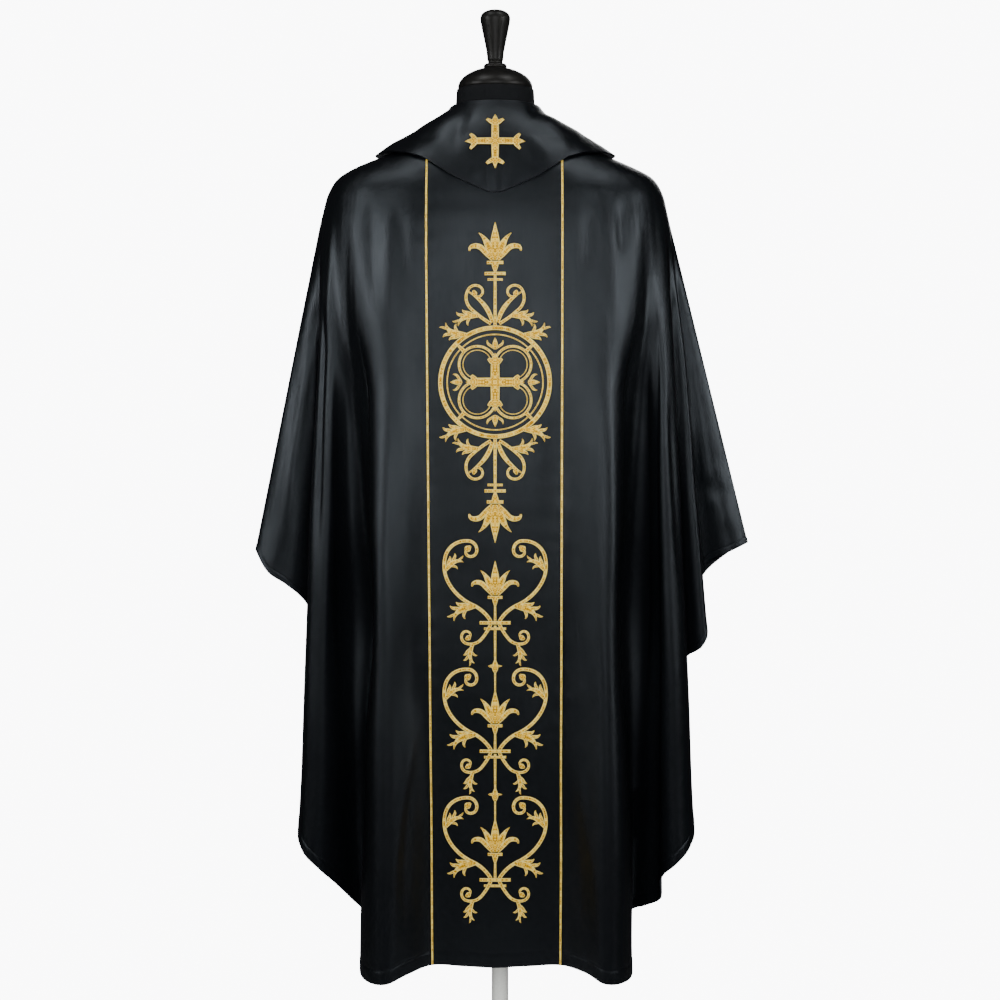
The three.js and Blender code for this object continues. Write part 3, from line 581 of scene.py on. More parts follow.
def makeGoldLine(half, side):
    drops = np.linspace(orphrey["topDrop"], 1, goldLine["rows"])
    across, dome = domeSection(goldLine["across"])
    section = list(zip(across, dome)) + [(0.6, -0.12), (-0.6, -0.12), (-0.95, -0.06)]
    turned = np.arange(goldLine["rows"]) * goldLine["twist"]
    column = np.full(drops.shape, lineColumn(half, side))
    rings = []
    for aside, rise in section:
        place = columnBeside(half, column, drops, aside * goldLine["width"] / 2)
        strand = goldLine["strand"] * np.sin(turned + aside * 2.4) if rise > 0.2 else 0
        out = orphrey["lift"] + rise * (goldLine["height"] - orphrey["lift"]) + strand
        rings.append(clothFace(half, place, drops, out))
    points = np.stack(rings, 1)
    around = len(section)
    along = lengthsAlong(points[:, around // 2][:, None], 0)[:, 0] * 0.001
    asides = np.array([aside for aside, rise in section])
    uv = stitchUv(along, asides, np.full(len(along), goldLine["width"]))
    name = "goldLine" + half["word"].capitalize() + side.capitalize()
    piece = makePiece(name, points.reshape(-1, 3), tubeFaces(len(points), around), uv.reshape(-1, 2))
    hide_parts(f"piping_{half['word']}_{side}")
    return piece


orphreyBack = makeOrphrey(back)
orphreyFront = makeOrphrey(front)
goldLines = [makeGoldLine(half, side) for half in (back, front) for side in ("left", "right")]
print("orphreys and gold lines")

# The collar: its edge is a row of x, z from the point at the middle out to the shoulder
collar = {
    "wall": 2.2, "standWall": 1.6, "rise": 22, "sideDip": 5,
    "spare": 4.1,            # from the gold lines to the collar's outer face
    "creaseShift": 8,        # the creases are drawn where they show, on the lifted collar
    "columns": 150, "fallRows": 50, "standRows": 14,
    "edge": [(0, 1366), (11, 1366.5), (15, 1369), (36, 1378), (61, 1390), (84, 1405), (104, 1419),
             (130, 1427), (155, 1430), (176, 1428), (186, 1424)],
}
collarLift = goldLine["height"] + garment["seamGap"] + collar["spare"]
backCollarCreases = [
    (-52, 1492, -92, 1430, 2, 13, 2.6),
    (-34, 1490, -60, 1420, 3, 9, -2.2),
    (-100, 1462, -150, 1434, 2, 8, -1.6),
    (26, 1500, 52, 1478, -2, 8, 2.2),
    (46, 1500, 58, 1462, 2, 6, -3.0),
    (64, 1474, 112, 1428, -2, 11, 2.6),
    (40, 1450, 66, 1404, 2, 9, -1.6),
    (118, 1456, 156, 1436, 2, 8, -1.4),
    (0, 1428, 0, 1352, 0, 5, -3.2),
    (11, 1430, 9, 1358, 0, 3.5, 1.8),
    (-11, 1430, -9, 1358, 0, 3.5, 1.8),
    (21, 1424, 19, 1376, 0, 4, -1.3),
    (-30, 1416, -26, 1388, 0, 6, 0.9),
]
frontCollarCreases = [
    (-50, 1490, -88, 1432, 2, 12, 2.2),
    (-36, 1486, -58, 1424, 3, 9, -1.8),
    (30, 1496, 60, 1468, -2, 9, 2.0),
    (60, 1474, 108, 1430, -2, 11, 2.2),
    (44, 1470, 70, 1420, 2, 8, -1.8),
    (-12, 1420, -10, 1380, 0, 5, -1.1),
]


def edgeHeight(x):
    return np.interp(x, *zip(*collar["edge"]))


def collarEnd(half, turn):
    # the shoulder level at which the collar's edge lies, by halving
    low, high = np.zeros(np.shape(turn)), np.ones(np.shape(turn))
    for i in range(30):
        level = (low + high) / 2
        point = shoulderPoint(half, turn, level)
        above = point[..., 2] > edgeHeight(np.minimum(np.abs(point[..., 0]), 185))
        low, high = np.where(above, level, low), np.where(above, high, level)
    return low


def shoulderNormal(half, turn, level):
    step = 0.002
    side = shoulderPoint(half, turn + 0.1, level) - shoulderPoint(half, turn - 0.1, level)
    below, above = np.minimum(level + step, 1), np.maximum(level - step, 0)
    down = shoulderPoint(half, turn, below) - shoulderPoint(half, turn, above)
    return unit(np.cross(down, side)) * -half["side"]


def collarPoint(half, turn, share, out=0.0):
    turn, share = np.broadcast_arrays(np.asarray(turn, float), np.asarray(share, float))
    end = collarEnd(half, turn)
    level = share * end
    point = shoulderPoint(half, turn, level)
    neck, rim = shoulderPoint(half, turn, 0.0), shoulderPoint(half, turn, end)
    reach = np.hypot(*(point - neck)[..., :2].T).T / np.hypot(*(rim - neck)[..., :2].T).T
    creases = backCollarCreases if half is back else frontCollarCreases
    x, z = point[..., 0], point[..., 2]
    soft = creaseHeight(creases, x, z + collar["creaseShift"]) + 0.35 * np.sin(x * 0.09 + z * 0.05)
    soft = soft * np.clip(np.minimum(turn, 180 - turn) / 12, 0, 1) * np.clip(share / 0.2, 0, 1)
    point = point + shoulderNormal(half, turn, level) * (collarLift + out + soft)[..., None]
    rise = collar["rise"] - collar["sideDip"] * np.cos(np.radians(turn)) ** 2
    point[..., 2] += rise * (1 - reach ** 2)
    return point


def standRows(half, turn, out):
    # control rows: up the stand and over the roll
    base = shoulderPoint(half, turn, 0.0)
    outward = unit(shoulderNormal(half, turn, np.zeros(len(turn))) * [1, 1, 0])
    fallTop = collarPoint(half, turn, 0.0, out)[..., 2]
    inner = out < 0
    standOut = -0.2 if inner else -0.2 - collar["standWall"]
    middle = (collarLift + out + standOut) / 2
    rows = []
    for along, z in ((standOut, base[..., 2] + garment["seamGap"]), (standOut, fallTop - 3),
                     (middle, fallTop + (0.6 if inner else 2.6))):
        row = base + outward * along
        row[..., 2] = z
        rows.append(row)
    return rows


def collarGrid(half, turn, out):
    start = standRows(half, turn, out)
    shares = np.linspace(0, 1, collar["fallRows"])
    fall = np.stack([collarPoint(half, turn, share, out) for share in shares])
    control = np.stack([2 * start[0] - start[1], *start, fall[0], fall[2]])
    places = np.linspace(0, 3, collar["standRows"] + 1)[:-1]
    stand = alongRows(control.reshape(len(control), -1), places)
    return np.concatenate([stand.reshape(-1, len(turn), 3), fall])


def makeCollarHalf(half):
    turn = np.linspace(0, 180, collar["columns"])
    outer, inner = collarGrid(half, turn, 0.0), collarGrid(half, turn, -collar["wall"])
    for grid in (outer, inner):
        grid[:, [0, -1], 1] = half["side"] * garment["seamGap"] / 2
    piece = makeShell("collar" + half["word"].capitalize(), outer, inner)
    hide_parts("collar_" + half["word"])
    return piece


collarBack = makeCollarHalf(back)
collarFront = makeCollarHalf(front)
print("collar")

# The embroidery is drawn flat, as rows of stitches, and laid on the cloth
stitching = {
    "step": 2.6, "turn": 8.0, "across": 9, "sunk": 0.25,
    "base": orphrey["lift"] + orphrey["wall"], "low": 0.9, "perWidth": 0.13, "most": 2.3,
}


def stroke(x, y, heading, bends, width, swell=0):
    # a start, a heading, bends of a length and a turn each, and the width at each end
    return {"x": x, "y": y, "heading": heading, "bends": bends, "width": list(width), "swell": swell}


def afterBend(place, length, turn):
    x, y, heading = place
    angle, sweep = math.radians(heading), math.radians(turn)
    chord = length if sweep == 0 else length * math.sin(sweep / 2) / (sweep / 2)
    toward = angle + sweep / 2
    return x + chord * math.cos(toward), y + chord * math.sin(toward), heading + turn


def strokeLine(one):
    place = (one["x"], one["y"], one["heading"])
    points = [place[:2]]
    for length, turn in one["bends"]:
        steps = max(math.ceil(length / stitching["step"]), math.ceil(abs(turn) / stitching["turn"]))
        for i in range(steps):
            place = afterBend(place, length / steps, turn / steps)
            points.append(place[:2])
    return np.array(points)


def placeOn(one, share):
    left = share * sum(length for length, turn in one["bends"])
    place = (one["x"], one["y"], one["heading"])
    for length, turn in one["bends"]:
        part = min(max(left / length, 0), 1)
        place = afterBend(place, length * part, turn * part)
        left -= length
    return place


def branch(one, share, turn, bends, width, swell=0):
    x, y, heading = placeOn(one, share)
    return stroke(x, y, heading + turn, bends, width, swell)


def turnedBack(one):
    return [(length, -turn) for length, turn in one["bends"]]


def mirrored(strokes):
    return strokes + [
        {**one, "x": -one["x"], "heading": 180 - one["heading"], "bends": turnedBack(one)}
        for one in strokes]


def flipped(strokes):
    return [
        {**one, "y": -one["y"], "heading": -one["heading"], "bends": turnedBack(one)}
        for one in strokes]


def moved(strokes, x, y, scale=1.0):
    return [{
        **one, "x": one["x"] * scale + x, "y": one["y"] * scale + y,
        "width": [width * scale for width in one["width"]], "swell": one["swell"] * scale,
        "bends": [(length * scale, turn) for length, turn in one["bends"]],
    } for one in strokes]


def setAt(strokes, x, y, heading):
    angle = math.radians(heading)
    return [{
        **one, "heading": one["heading"] + heading,
        "x": x + one["x"] * math.cos(angle) - one["y"] * math.sin(angle),
        "y": y + one["x"] * math.sin(angle) + one["y"] * math.cos(angle),
    } for one in strokes]


def acanthus(x, y, heading, size, hand):
    # a curled leaf with three lobes on its outer side and one on its inner side
    blade = stroke(0, 0, 0, [(22, 24), (20, 66)], (5.5, 1.2), 7.5)
    leaf = [
        blade,
        branch(blade, 0.2, -34, [(13, 22), (9, -50)], (5, 1.2), 5),
        branch(blade, 0.48, -36, [(11, 14), (8, -60)], (4.4, 1.2), 3.6),
        branch(blade, 0.74, -34, [(8, 6), (6, -40)], (3.4, 1), 2.4),
        branch(blade, 0.3, 40, [(10, 16), (8, 66)], (4, 1), 2.8),
    ]
    leaf = flipped(leaf) if hand < 0 else leaf
    return setAt(moved(leaf, 0, 0, size), x, y, heading)


def acanthusOn(one, share, turn, size, hand):
    x, y, heading = placeOn(one, share)
    return acanthus(x, y, heading + turn, size, hand)


def voluteOn(one, size, width, lead=0):
    # goes on from a stroke's end and winds in to an eye
    wind = [(26 * size, 100), (19 * size, 110), (12 * size, 105)]
    if lead > 0:
        wind = [(lead, lead * 1.6)] + wind
    wound = stroke(*placeOn(one, 1), wind, width)
    eyeSize = width[1] * 2.2
    eyeEnd = eyeSize * 0.35
    eye = stroke(-eyeEnd, 0, 0, [(eyeSize, 0)], (eyeEnd, eyeEnd), eyeSize * 0.75)
    return [wound] + setAt([eye], *placeOn(wound, 1))


def palmette(size):
    petals = [
        stroke(1.5, 7, 70, [(20, -6), (14, -26)], (4, 0.8), 7),
        stroke(3, 6, 46, [(16, 4), (13, -70), (6, -80)], (4.4, 2.4), 4),
    ]
    middle = [
        stroke(0, 6, 90, [(42, 0)], (5, 0.8), 9),
        stroke(-9, 3, 0, [(18, 0)], (5, 5)),
        stroke(0, 3, -90, [(13, 0)], (9, 1), 2),
    ]
    return moved(middle + mirrored(petals), 0, 0, size)


def tie(y, half):
    # a band round the stems, with a narrower one under it
    return [
        stroke(-half, y, 0, [(half * 2, 0)], (6.5, 6.5)),
        stroke(-half * 0.72, y - 8.5, 0, [(half * 1.44, 0)], (4.8, 4.8)),
    ]


def ray(heading, start, length, width, swell=0):
    return setAt([stroke(start, 0, 0, [(length, 0)], width, swell)], 0, 0, heading)[0]


def arcOf(radius, start, sweep, width, heading=0, out=0):
    angle = math.radians(start)
    arc = stroke(out + radius * math.cos(angle), radius * math.sin(angle), start + 90,
                 [(math.radians(sweep) * radius, sweep)], (width, width))
    return setAt([arc], 0, 0, heading)[0]


def crossStrokes(size, width, budTurn, budLength):
    # four arms, each with a pointed end and a bud to each side
    bud, tip = 0.2 * size, size / 2
    strokes = []
    for heading in (0, 90, 180, 270):
        strokes.append(ray(heading, -1, tip - bud + 3, (width, width * 0.95)))
        strokes.append(ray(heading, tip - bud, bud, (width * 0.9, 0.6), width * 0.35))
        for turn in (-budTurn, budTurn):
            foot = ray(heading, tip - bud * 0.9, 0, (1, 1))
            foot.update(heading=heading + turn, bends=[(bud * budLength, -turn * 0.3)])
            foot.update(width=[width * 0.62, width * 0.4], swell=width * 0.16)
            strokes.append(foot)
    return strokes


medallionSizes = {
    "height": 1092, "ring": 78, "ringWidth": 8.5, "lobe": 26, "lobeOut": 36, "crownStem": 84,
    "shoulder": 60,
    "cross": {"size": 84, "width": 15, "budTurn": 62, "budLength": 0.72},
}


def crown(sizes):
    outer = stroke(6, 6, 30, [(36, 14), (30, 76)], (6.6, 5.4))
    inner = stroke(4, 8, 78, [(32, -30), (28, -20)], (6, 2), 4)
    half = [outer, inner] + voluteOn(outer, 0.8, (5.4, 4.2))
    half += acanthusOn(outer, 0.3, -30, 0.9, -1)
    stem = sizes["crownStem"]
    middle = [stroke(0, 2, 90, [(stem, 0)], (6.5, 5))] + tie(stem - 6, 15)
    strokes = mirrored(half) + middle + moved(palmette(1.3), 0, stem + 6)
    return moved(strokes, 0, sizes["ring"])


def medallionStrokes(sizes):
    ring, lobe, lobeOut = sizes["ring"], sizes["lobe"], sizes["lobeOut"]
    strokes = [arcOf(ring, start, 186, sizes["ringWidth"]) for start in (-3, 177)]
    strokes += [arcOf(ring - 9.5, start, 186, 2.6) for start in (-3, 177)]
    for heading in (45, 135, 225, 315):
        strokes.append(arcOf(lobe, -112, 224, 5, heading, lobeOut))
        strokes.append(arcOf(lobe - 5.5, -104, 208, 1.8, heading, lobeOut))
        strokes.append(ray(heading, lobeOut + lobe - 2, 16, (9, 5)))
    for heading in (0, 90, 180, 270):
        fan = [stroke(47, 0, 0, [(17, 0)], (2, 1), 8)]
        for hand in (-1, 1):
            bends = [(9, hand * 10), (8, hand * -70)]
            fan.append(stroke(48, hand, hand * 48, bends, (3, 1.2), 2.8))
        strokes += setAt(fan, 0, 0, heading)
    angle = math.radians(sizes["shoulder"])
    leaves = acanthus((ring + 1) * math.cos(angle), (ring + 1) * math.sin(angle), -4, 0.95, 1)
    top = crown(sizes) + mirrored(leaves)
    return strokes + crossStrokes(**sizes["cross"]) + top + flipped(top)


scrollSizes = {"unit": 184, "foot": 379, "units": 3, "linkFoot": 84, "bud": 122}


def scrollUnit():
    outer = stroke(6, 2, 60, [(36, -36), (46, 36), (40, 44), (30, 58)], (6.8, 6.6))
    foot = stroke(6, -2, -66, [(25, 16), (24, 66)], (6.4, 5.4))
    half = [outer] + voluteOn(outer, 0.86, (6.6, 4.8), 14)
    half += acanthusOn(outer, 0.2, -30, 1, -1) + acanthusOn(outer, 0.66, 40, 0.8, 1)
    half += [foot] + voluteOn(foot, 0.66, (5.4, 4)) + acanthusOn(foot, 0.8, -50, 0.74, -1)
    stalk = stroke(0, 0, 90, [(26, 0)], (5, 4))
    return mirrored(half) + [stalk] + tie(0, 22) + moved(palmette(1.16), 0, 33)


def scrollLink(sizes):
    length = sizes["unit"] - sizes["linkFoot"] - 4
    stalk = stroke(0, sizes["linkFoot"], 90, [(length, 0)], (3.2, 4.8))
    bud = [stroke(0, -11, 90, [(22, 0)], (1, 1), 10), stroke(-10, 0, 0, [(20, 0)], (1, 1), 5.6)]
    return [stalk] + moved(bud, 0, sizes["bud"])


def scrollStrokes(sizes):
    strokes = []
    for i in range(sizes["units"]):
        strokes += moved(scrollUnit(), 0, sizes["unit"] * i)
        if i < sizes["units"] - 1:
            strokes += moved(scrollLink(sizes), 0, sizes["unit"] * i)
    return strokes


def strokeRibbon(one, order):
    # a padded satin-stitch ridge: flat points along and round it, with their height
    line = strokeLine(one)
    count = len(line)
    near = np.clip(np.arange(count)[:, None] + [-1, 1], 0, count - 1)
    along = line[near[:, 1]] - line[near[:, 0]]
    along = along / np.maximum(np.linalg.norm(along, axis=1, keepdims=True), 1e-9)
    t = np.arange(count) / max(count - 1, 1)
    start, end = one["width"]
    width = start + (end - start) * t + one["swell"] * np.sin(math.pi * t ** 0.8)
    side = np.stack([-along[:, 1], along[:, 0]], 1) * width[:, None] / 2
    across, dome = domeSection(stitching["across"])
    full = np.minimum(stitching["low"] + stitching["perWidth"] * width, stitching["most"])
    full = full + 0.07 * (order % 4)      # so that strokes which cross don't share a face
    ends = np.sqrt(np.clip(np.minimum(t, 1 - t) * count * stitching["step"] / 2.2 + 0.25, 0, 1))
    # wide strokes have a groove down the middle
    wide = np.clip((width[:, None] - 7) / 3, 0, 1)
    split = 1 - 0.3 * np.exp(-(across[None, :] / 0.2) ** 2) * wide
    around = np.append(across, [0.55, 0, -0.55])
    flat = line[:, None] + side[:, None] * around[None, :, None]
    raised = full[:, None] * ends[:, None] * dome[None] * split
    height = np.concatenate([raised, np.full((count, 3), -stitching["sunk"])], 1)
    reach = lengthsAlong(line, 0) * 0.001
    return flat, height, stitchUv(reach, around, width)


def embroider(name, node, strokes, place):
    flats, heights, uvs, faces, total = [], [], [], [], 0
    for order, one in enumerate(strokes):
        flat, height, uv = strokeRibbon(one, order)
        rows, around = height.shape
        faces.append(tubeFaces(rows, around) + total)
        flats.append(flat.reshape(-1, 2))
        heights.append(height.ravel())
        uvs.append(uv.reshape(-1, 2))
        total += rows * around
    flat, height = np.concatenate(flats), np.concatenate(heights)
    points = place(flat[:, 0], flat[:, 1], height)
    piece = makePiece(name, points, np.concatenate(faces), np.concatenate(uvs), 80)
    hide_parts(node)
    return piece


def solveFor(surface, x, z, u, v, limits, mostStep):
    # the two surface parameters at which the surface has this x and z
    step = 1e-3
    for i in range(14):
        here = surface(u, v)
        du = (surface(u + step, v) - here) / step
        dv = (surface(u, v + step) - here) / step
        errorX, errorZ = x - here[..., 0], z - here[..., 2]
        det = du[..., 0] * dv[..., 2] - dv[..., 0] * du[..., 2]
        det = np.where(np.abs(det) < 1e-9, 1e-9, det)
        u = u + np.clip((errorX * dv[..., 2] - dv[..., 0] * errorZ) / det, -mostStep, mostStep)
        v = np.clip(v + np.clip((du[..., 0] * errorZ - errorX * du[..., 2]) / det, -0.2, 0.2), *limits)
    return u, v


def ontoOrphrey(x, z, height):
    def surface(column, drop):
        return clothPoint(back, column, drop)
    # a first guess: the middle columns lie about 49 mm apart
    guess = foldColumn(backFolds, "middle") + x / 49
    column, drop = solveFor(surface, x, z, guess, np.full(x.shape, 0.5), (0.05, 0.998), 0.5)
    return clothFace(back, column, drop, stitching["base"] + height)


def ontoCollar(x, z, height):
    def surface(turn, share):
        return collarPoint(back, turn, share)
    turn, share = solveFor(surface, x, z, 90 + x / 5, np.full(x.shape, 0.5), (0, 1), 3)
    step = 0.01
    across = surface(turn + step, share) - surface(turn - step, share)
    down = surface(turn, share + step) - surface(turn, share - step)
    return surface(turn, share) + unit(np.cross(down, across)) * height[..., None]


collarCross = {
    "height": 1442, "tilt": 0.94,
    "cross": {"size": 87, "width": 12.7, "budTurn": 66, "budLength": 0.84},
}


def placeMedallion(x, y, height):
    return ontoOrphrey(x, medallionSizes["height"] + y, height)


def placeScrolls(x, y, height):
    return ontoOrphrey(x, scrollSizes["foot"] + y, height)


def placeCross(x, y, height):
    return ontoCollar(x, collarCross["height"] + y * collarCross["tilt"], height)


medallion = embroider("embroideryMedallion", "embroidery_medallion",
                      medallionStrokes(medallionSizes), placeMedallion)
scrolls = embroider("embroideryScrolls", "embroidery_scrolls", scrollStrokes(scrollSizes), placeScrolls)
cross = embroider("embroideryCross", "collar_cross", crossStrokes(**collarCross["cross"]), placeCross)
print("embroidery", *(len(piece.data.polygons) for piece in (medallion, scrolls, cross)))

# The dress form: rings of z, half width, depth at the back and at the front, and shoulder levels
form = {
    "columns": 64,
    "neck": [(1532, 56.5, 57.5, 56.5), (1530.5, 57.4, 58.4, 57.4), (1505, 59, 60.5, 59.5),
             (1486, 60, 62, 61)],
    "levels": [level / 12 for level in range(9)],
    "clearance": 4.6,
    "girth": 1.2,            # metres round the form, for its jersey
    "body": [(1380, 230, 103, 102), (1345, 229, 105, 106), (1312, 222, 107, 110), (1280, 213, 109, 113),
             (1235, 202, 107, 113), (1190, 189, 104, 112), (1140, 175, 98, 107), (1090, 162, 93, 102),
             (1035, 163, 97, 101), (980, 167, 104, 103), (935, 173, 108, 104), (890, 175, 110, 105),
             (850, 173, 109, 103), (835, 171, 108, 102), (829, 168, 105, 99), (827, 160, 98, 92)],
}


def levelRing(z, width, depthBack, depthFront):
    angle = np.linspace(0, 2 * math.pi, form["columns"], endpoint=False)
    depth = np.where(angle < math.pi, depthBack, depthFront)
    return np.stack([-width * np.cos(angle), -depth * np.sin(angle), np.full(angle.shape, z)], -1)


def shoulderRing(level):
    count = form["columns"] // 2
    turn = np.linspace(0, 180, count, endpoint=False)
    rings = []
    for half, turns in ((back, turn), (front, 180 - turn)):
        lift = np.where((turns < 1) | (turns > 179), 0.6, 0) + form["clearance"]
        outward = shoulderNormal(half, turns, np.full(count, level))
        rings.append(shoulderPoint(half, turns, level) - outward * lift[:, None])
    return np.concatenate(rings)


def makeForm():
    rings = [levelRing(*row) for row in form["neck"]]
    rings += [shoulderRing(level) for level in form["levels"]]
    rings += [levelRing(*row) for row in form["body"]]
    points = np.stack(rings)
    around = form["columns"]
    rows = lengthsAlong(points, 0)
    turns = np.broadcast_to(np.linspace(0, form["girth"], around), rows.shape)
    uv = np.stack([turns, rows * 0.001], -1).reshape(-1, 2)
    piece = makePiece("formTorso", points.reshape(-1, 3), tubeFaces(len(rings), around), uv, 60)
    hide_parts("form_torso")
    return piece


formTorso = makeForm()

# Turned pieces: radius, z, and how sharp the ring's edge is
neckCap = {"node": "neck_cap", "x": -7, "sides": 48, "profile": [
    (54.5, 1532.3, 1), (55.5, 1534.2, 0.4), (55.5, 1537.5, 0.4), (54.2, 1542, 0),
    (50.5, 1547.6, 0), (45, 1552.4, 0), (38, 1556.6, 0), (29, 1560.6, 0), (21, 1562.8, 0.2),
    (19.8, 1563, 1),
]}
finial = {"node": "finial", "x": -7, "sides": 40, "profile": [
    (15.8, 1563.3, 1), (17.2, 1564.4, 0.2), (17.4, 1566.5, 0), (16.9, 1568.6, 0.2),
    (15.2, 1570, 0.4), (11.4, 1571.4, 0.3), (10.6, 1573.2, 0.2), (11.5, 1574.8, 0.5),
    (12.1, 1576.6, 0), (12.3, 1580, 0), (13.1, 1588, 0), (15.4, 1600, 0), (18.4, 1614, 0),
    (20.6, 1625, 0), (22.4, 1634, 0), (22.6, 1639, 0), (21, 1643.8, 0), (17, 1647.4, 0),
    (11, 1649.9, 0), (4, 1651, 0),
]}
pole = {"node": "pole", "x": 0, "sides": 32, "profile": [
    (12.3, 70.3, 1), (12.5, 72, 0.5), (12.5, 400, 0), (12.5, 824, 0.5), (12.3, 825.7, 1),
]}
stand = {"node": "base", "x": 0, "sides": 64, "profile": [
    (188, 0, 1), (190, 1.6, 0.5), (190, 7.6, 0.5), (188.6, 10.6, 0.3), (184, 12, 0.3),
    (110, 13.6, 0), (32, 15, 0.2), (24, 17.5, 0), (20.4, 23, 0), (19.4, 32, 0), (19.2, 60, 0.4),
    (19, 66.5, 0.6), (17.6, 69, 0.5), (16.6, 70, 1),
]}


def turnPiece(name, spec):
    # a disc, drawn up ring by ring to the turned profile, then rounded by subdivision
    deselectAll()
    last, lastZ, crease = spec["profile"][0]
    centre = (spec["x"] * 0.001, 0, lastZ * 0.001)
    bpy.ops.mesh.primitive_circle_add(vertices=spec["sides"], radius=last * 0.001, fill_type="NGON",
                                      location=centre)
    piece = bpy.context.object
    piece.name = piece.data.name = name
    bpy.ops.object.transform_apply(location=True, rotation=True, scale=True)
    bpy.ops.object.mode_set(mode="EDIT")
    bpy.ops.mesh.select_all(action="SELECT")
    for radius, z, crease in spec["profile"][1:]:
        up = (0, 0, (z - lastZ) * 0.001)
        bpy.ops.mesh.extrude_region_move(TRANSFORM_OT_translate={"value": up})
        share = radius / last
        centre = (spec["x"] * 0.001, 0, z * 0.001)
        bpy.ops.transform.resize(value=(share, share, 1), center_override=centre)
        last, lastZ = radius, z
    bpy.ops.mesh.select_all(action="SELECT")
    bpy.ops.mesh.normals_make_consistent(inside=False)
    bpy.ops.object.mode_set(mode="OBJECT")
    creases = {round(row[1] * 0.001, 5): row[2] for row in spec["profile"]}
    layer = piece.data.attributes.new("crease_edge", "FLOAT", "EDGE")
    for edge in piece.data.edges:
        ends = [piece.data.vertices[i].co.z for i in edge.vertices]
        if abs(ends[0] - ends[1]) < 1e-6:
            layer.data[edge.index].value = creases.get(round(ends[0], 5), 0)
    modifier = piece.modifiers.new("rounding", "SUBSURF")
    modifier.levels = modifier.render_levels = 2
    bpy.ops.object.modifier_apply(modifier=modifier.name)
    bpy.ops.object.shade_smooth_by_angle(angle=math.radians(35))
    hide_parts(spec["node"])
    return piece


capPiece = turnPiece("neckCap", neckCap)
finialPiece = turnPiece("topFinial", finial)
polePiece = turnPiece("standPole", pole)
standPiece = turnPiece("standBase", stand)
print("dress form and stand")

# Materials


def newGroup(name, inputs, outputs):
    group = bpy.data.node_groups.new(name, "ShaderNodeTree")
    for label, kind, value in inputs:
        socket = group.interface.new_socket(name=label, in_out="INPUT", socket_type="NodeSocket" + kind)
        if value is not None:
            socket.default_value = value
    for label, kind in outputs:
        group.interface.new_socket(name=label, in_out="OUTPUT", socket_type="NodeSocket" + kind)
    return group, group.nodes.new("NodeGroupInput"), group.nodes.new("NodeGroupOutput")


def addNode(tree, kind, inputs=(), **settings):
    node = tree.nodes.new(kind)
    for key, value in settings.items():
        setattr(node, key, value)
    for socket, value in dict(inputs).items():
        if isinstance(value, bpy.types.NodeSocket):
            tree.links.new(value, node.inputs[socket])
        else:
            node.inputs[socket].default_value = value
    return node


def worked(tree, operation, a, b):
    return addNode(tree, "ShaderNodeMath", {0: a, 1: b}, operation=operation).outputs[0]


def added(tree, a, shareA, b, shareB):
    first, second = worked(tree, "MULTIPLY", a, shareA), worked(tree, "MULTIPLY", b, shareB)
    return worked(tree, "ADD", first, second)


def weaveGroup():
    # threads that cross, with long slubs and a slow change of tone
    group, enter, leave = newGroup(
        "clothWeave",
        [("Vector", "Vector", None), ("Threads", "Float", 1400.0), ("Slubs", "Float", 420.0)],
        [("Height", "Float"), ("Tone", "Float")])
    vector, threads, slubs = (enter.outputs[name] for name in ("Vector", "Threads", "Slubs"))
    fine = addNode(group, "ShaderNodeVectorMath", {0: vector, "Scale": threads}, operation="SCALE")
    waves = [
        addNode(group, "ShaderNodeTexWave",
                {"Vector": fine.outputs[0], "Scale": scale, "Distortion": 0.6, "Detail": 0.0},
                bands_direction=direction).outputs["Fac"]
        for scale, direction in ((0.5, "X"), (0.3, "Y"))]
    drawn = addNode(group, "ShaderNodeMapping", {"Vector": vector, "Scale": (1.0, 0.06, 1.0)}).outputs[0]
    slub = {"Vector": drawn, "Scale": slubs, "Detail": 3.0, "Roughness": 0.55}
    streak = addNode(group, "ShaderNodeTexNoise", slub).outputs["Fac"]
    slow = addNode(group, "ShaderNodeTexNoise", {"Vector": vector, "Scale": 9.0, "Detail": 2.0})
    threadsUp = worked(group, "MULTIPLY", *waves)
    group.links.new(added(group, threadsUp, 0.5, streak, 0.8), leave.inputs["Height"])
    group.links.new(added(group, streak, 0.55, slow.outputs["Fac"], 0.45), leave.inputs["Tone"])
    return group


def stitchGroup():
    # satin stitches that cross the stroke, a little uneven, with a painted highlight along the rims and a
    # dark edge: outline stitching with painted shade where the stroke meets the cloth.
    # The vector runs along the stroke and in from its edge, in metres.
    group, enter, leave = newGroup(
        "satinStitch",
        [("Vector", "Vector", None), ("Stitches", "Float", 1500.0)],
        [("Height", "Float"), ("Tone", "Float"), ("PaintedRimHighlight", "Float"), ("OutlineAndPaintedShade", "Float")])
    vector, stitches = enter.outputs["Vector"], enter.outputs["Stitches"]
    parts = addNode(group, "ShaderNodeSeparateXYZ", {0: vector})
    along, across = parts.outputs[0], parts.outputs[1]
    noises = [{"Vector": vector, "Scale": scale, "Detail": detail}
              for scale, detail in ((120.0, 1.0), (480.0, 2.0))]
    wander, cell = (addNode(group, "ShaderNodeTexNoise", noise).outputs["Fac"] for noise in noises)
    slant = added(group, along, stitches, across, 700.0)
    place = worked(group, "ADD", slant, worked(group, "MULTIPLY", wander, 2.2))
    wave = worked(group, "SINE", worked(group, "MULTIPLY", place, 3.0), 0.0)
    group.links.new(worked(group, "MULTIPLY_ADD", wave, 0.5), leave.inputs["Height"])
    group.links.new(added(group, cell, 0.6, wander, 0.4), leave.inputs["Tone"])
    # masks in from the edge: the rim's painted highlight, and the outline stitching with painted shade at
    # the stroke's foot
    for label, clear, full in (("PaintedRimHighlight", 0.0026, 0.0018), ("OutlineAndPaintedShade", 0.0014, 0.0008)):
        span = {"Value": across, "From Min": clear, "From Max": full}
        mask = addNode(group, "ShaderNodeMapRange", span, interpolation_type="SMOOTHSTEP")
        group.links.new(mask.outputs["Result"], leave.inputs[label])
    return group


clothWeave = weaveGroup()
satinStitch = stitchGroup()


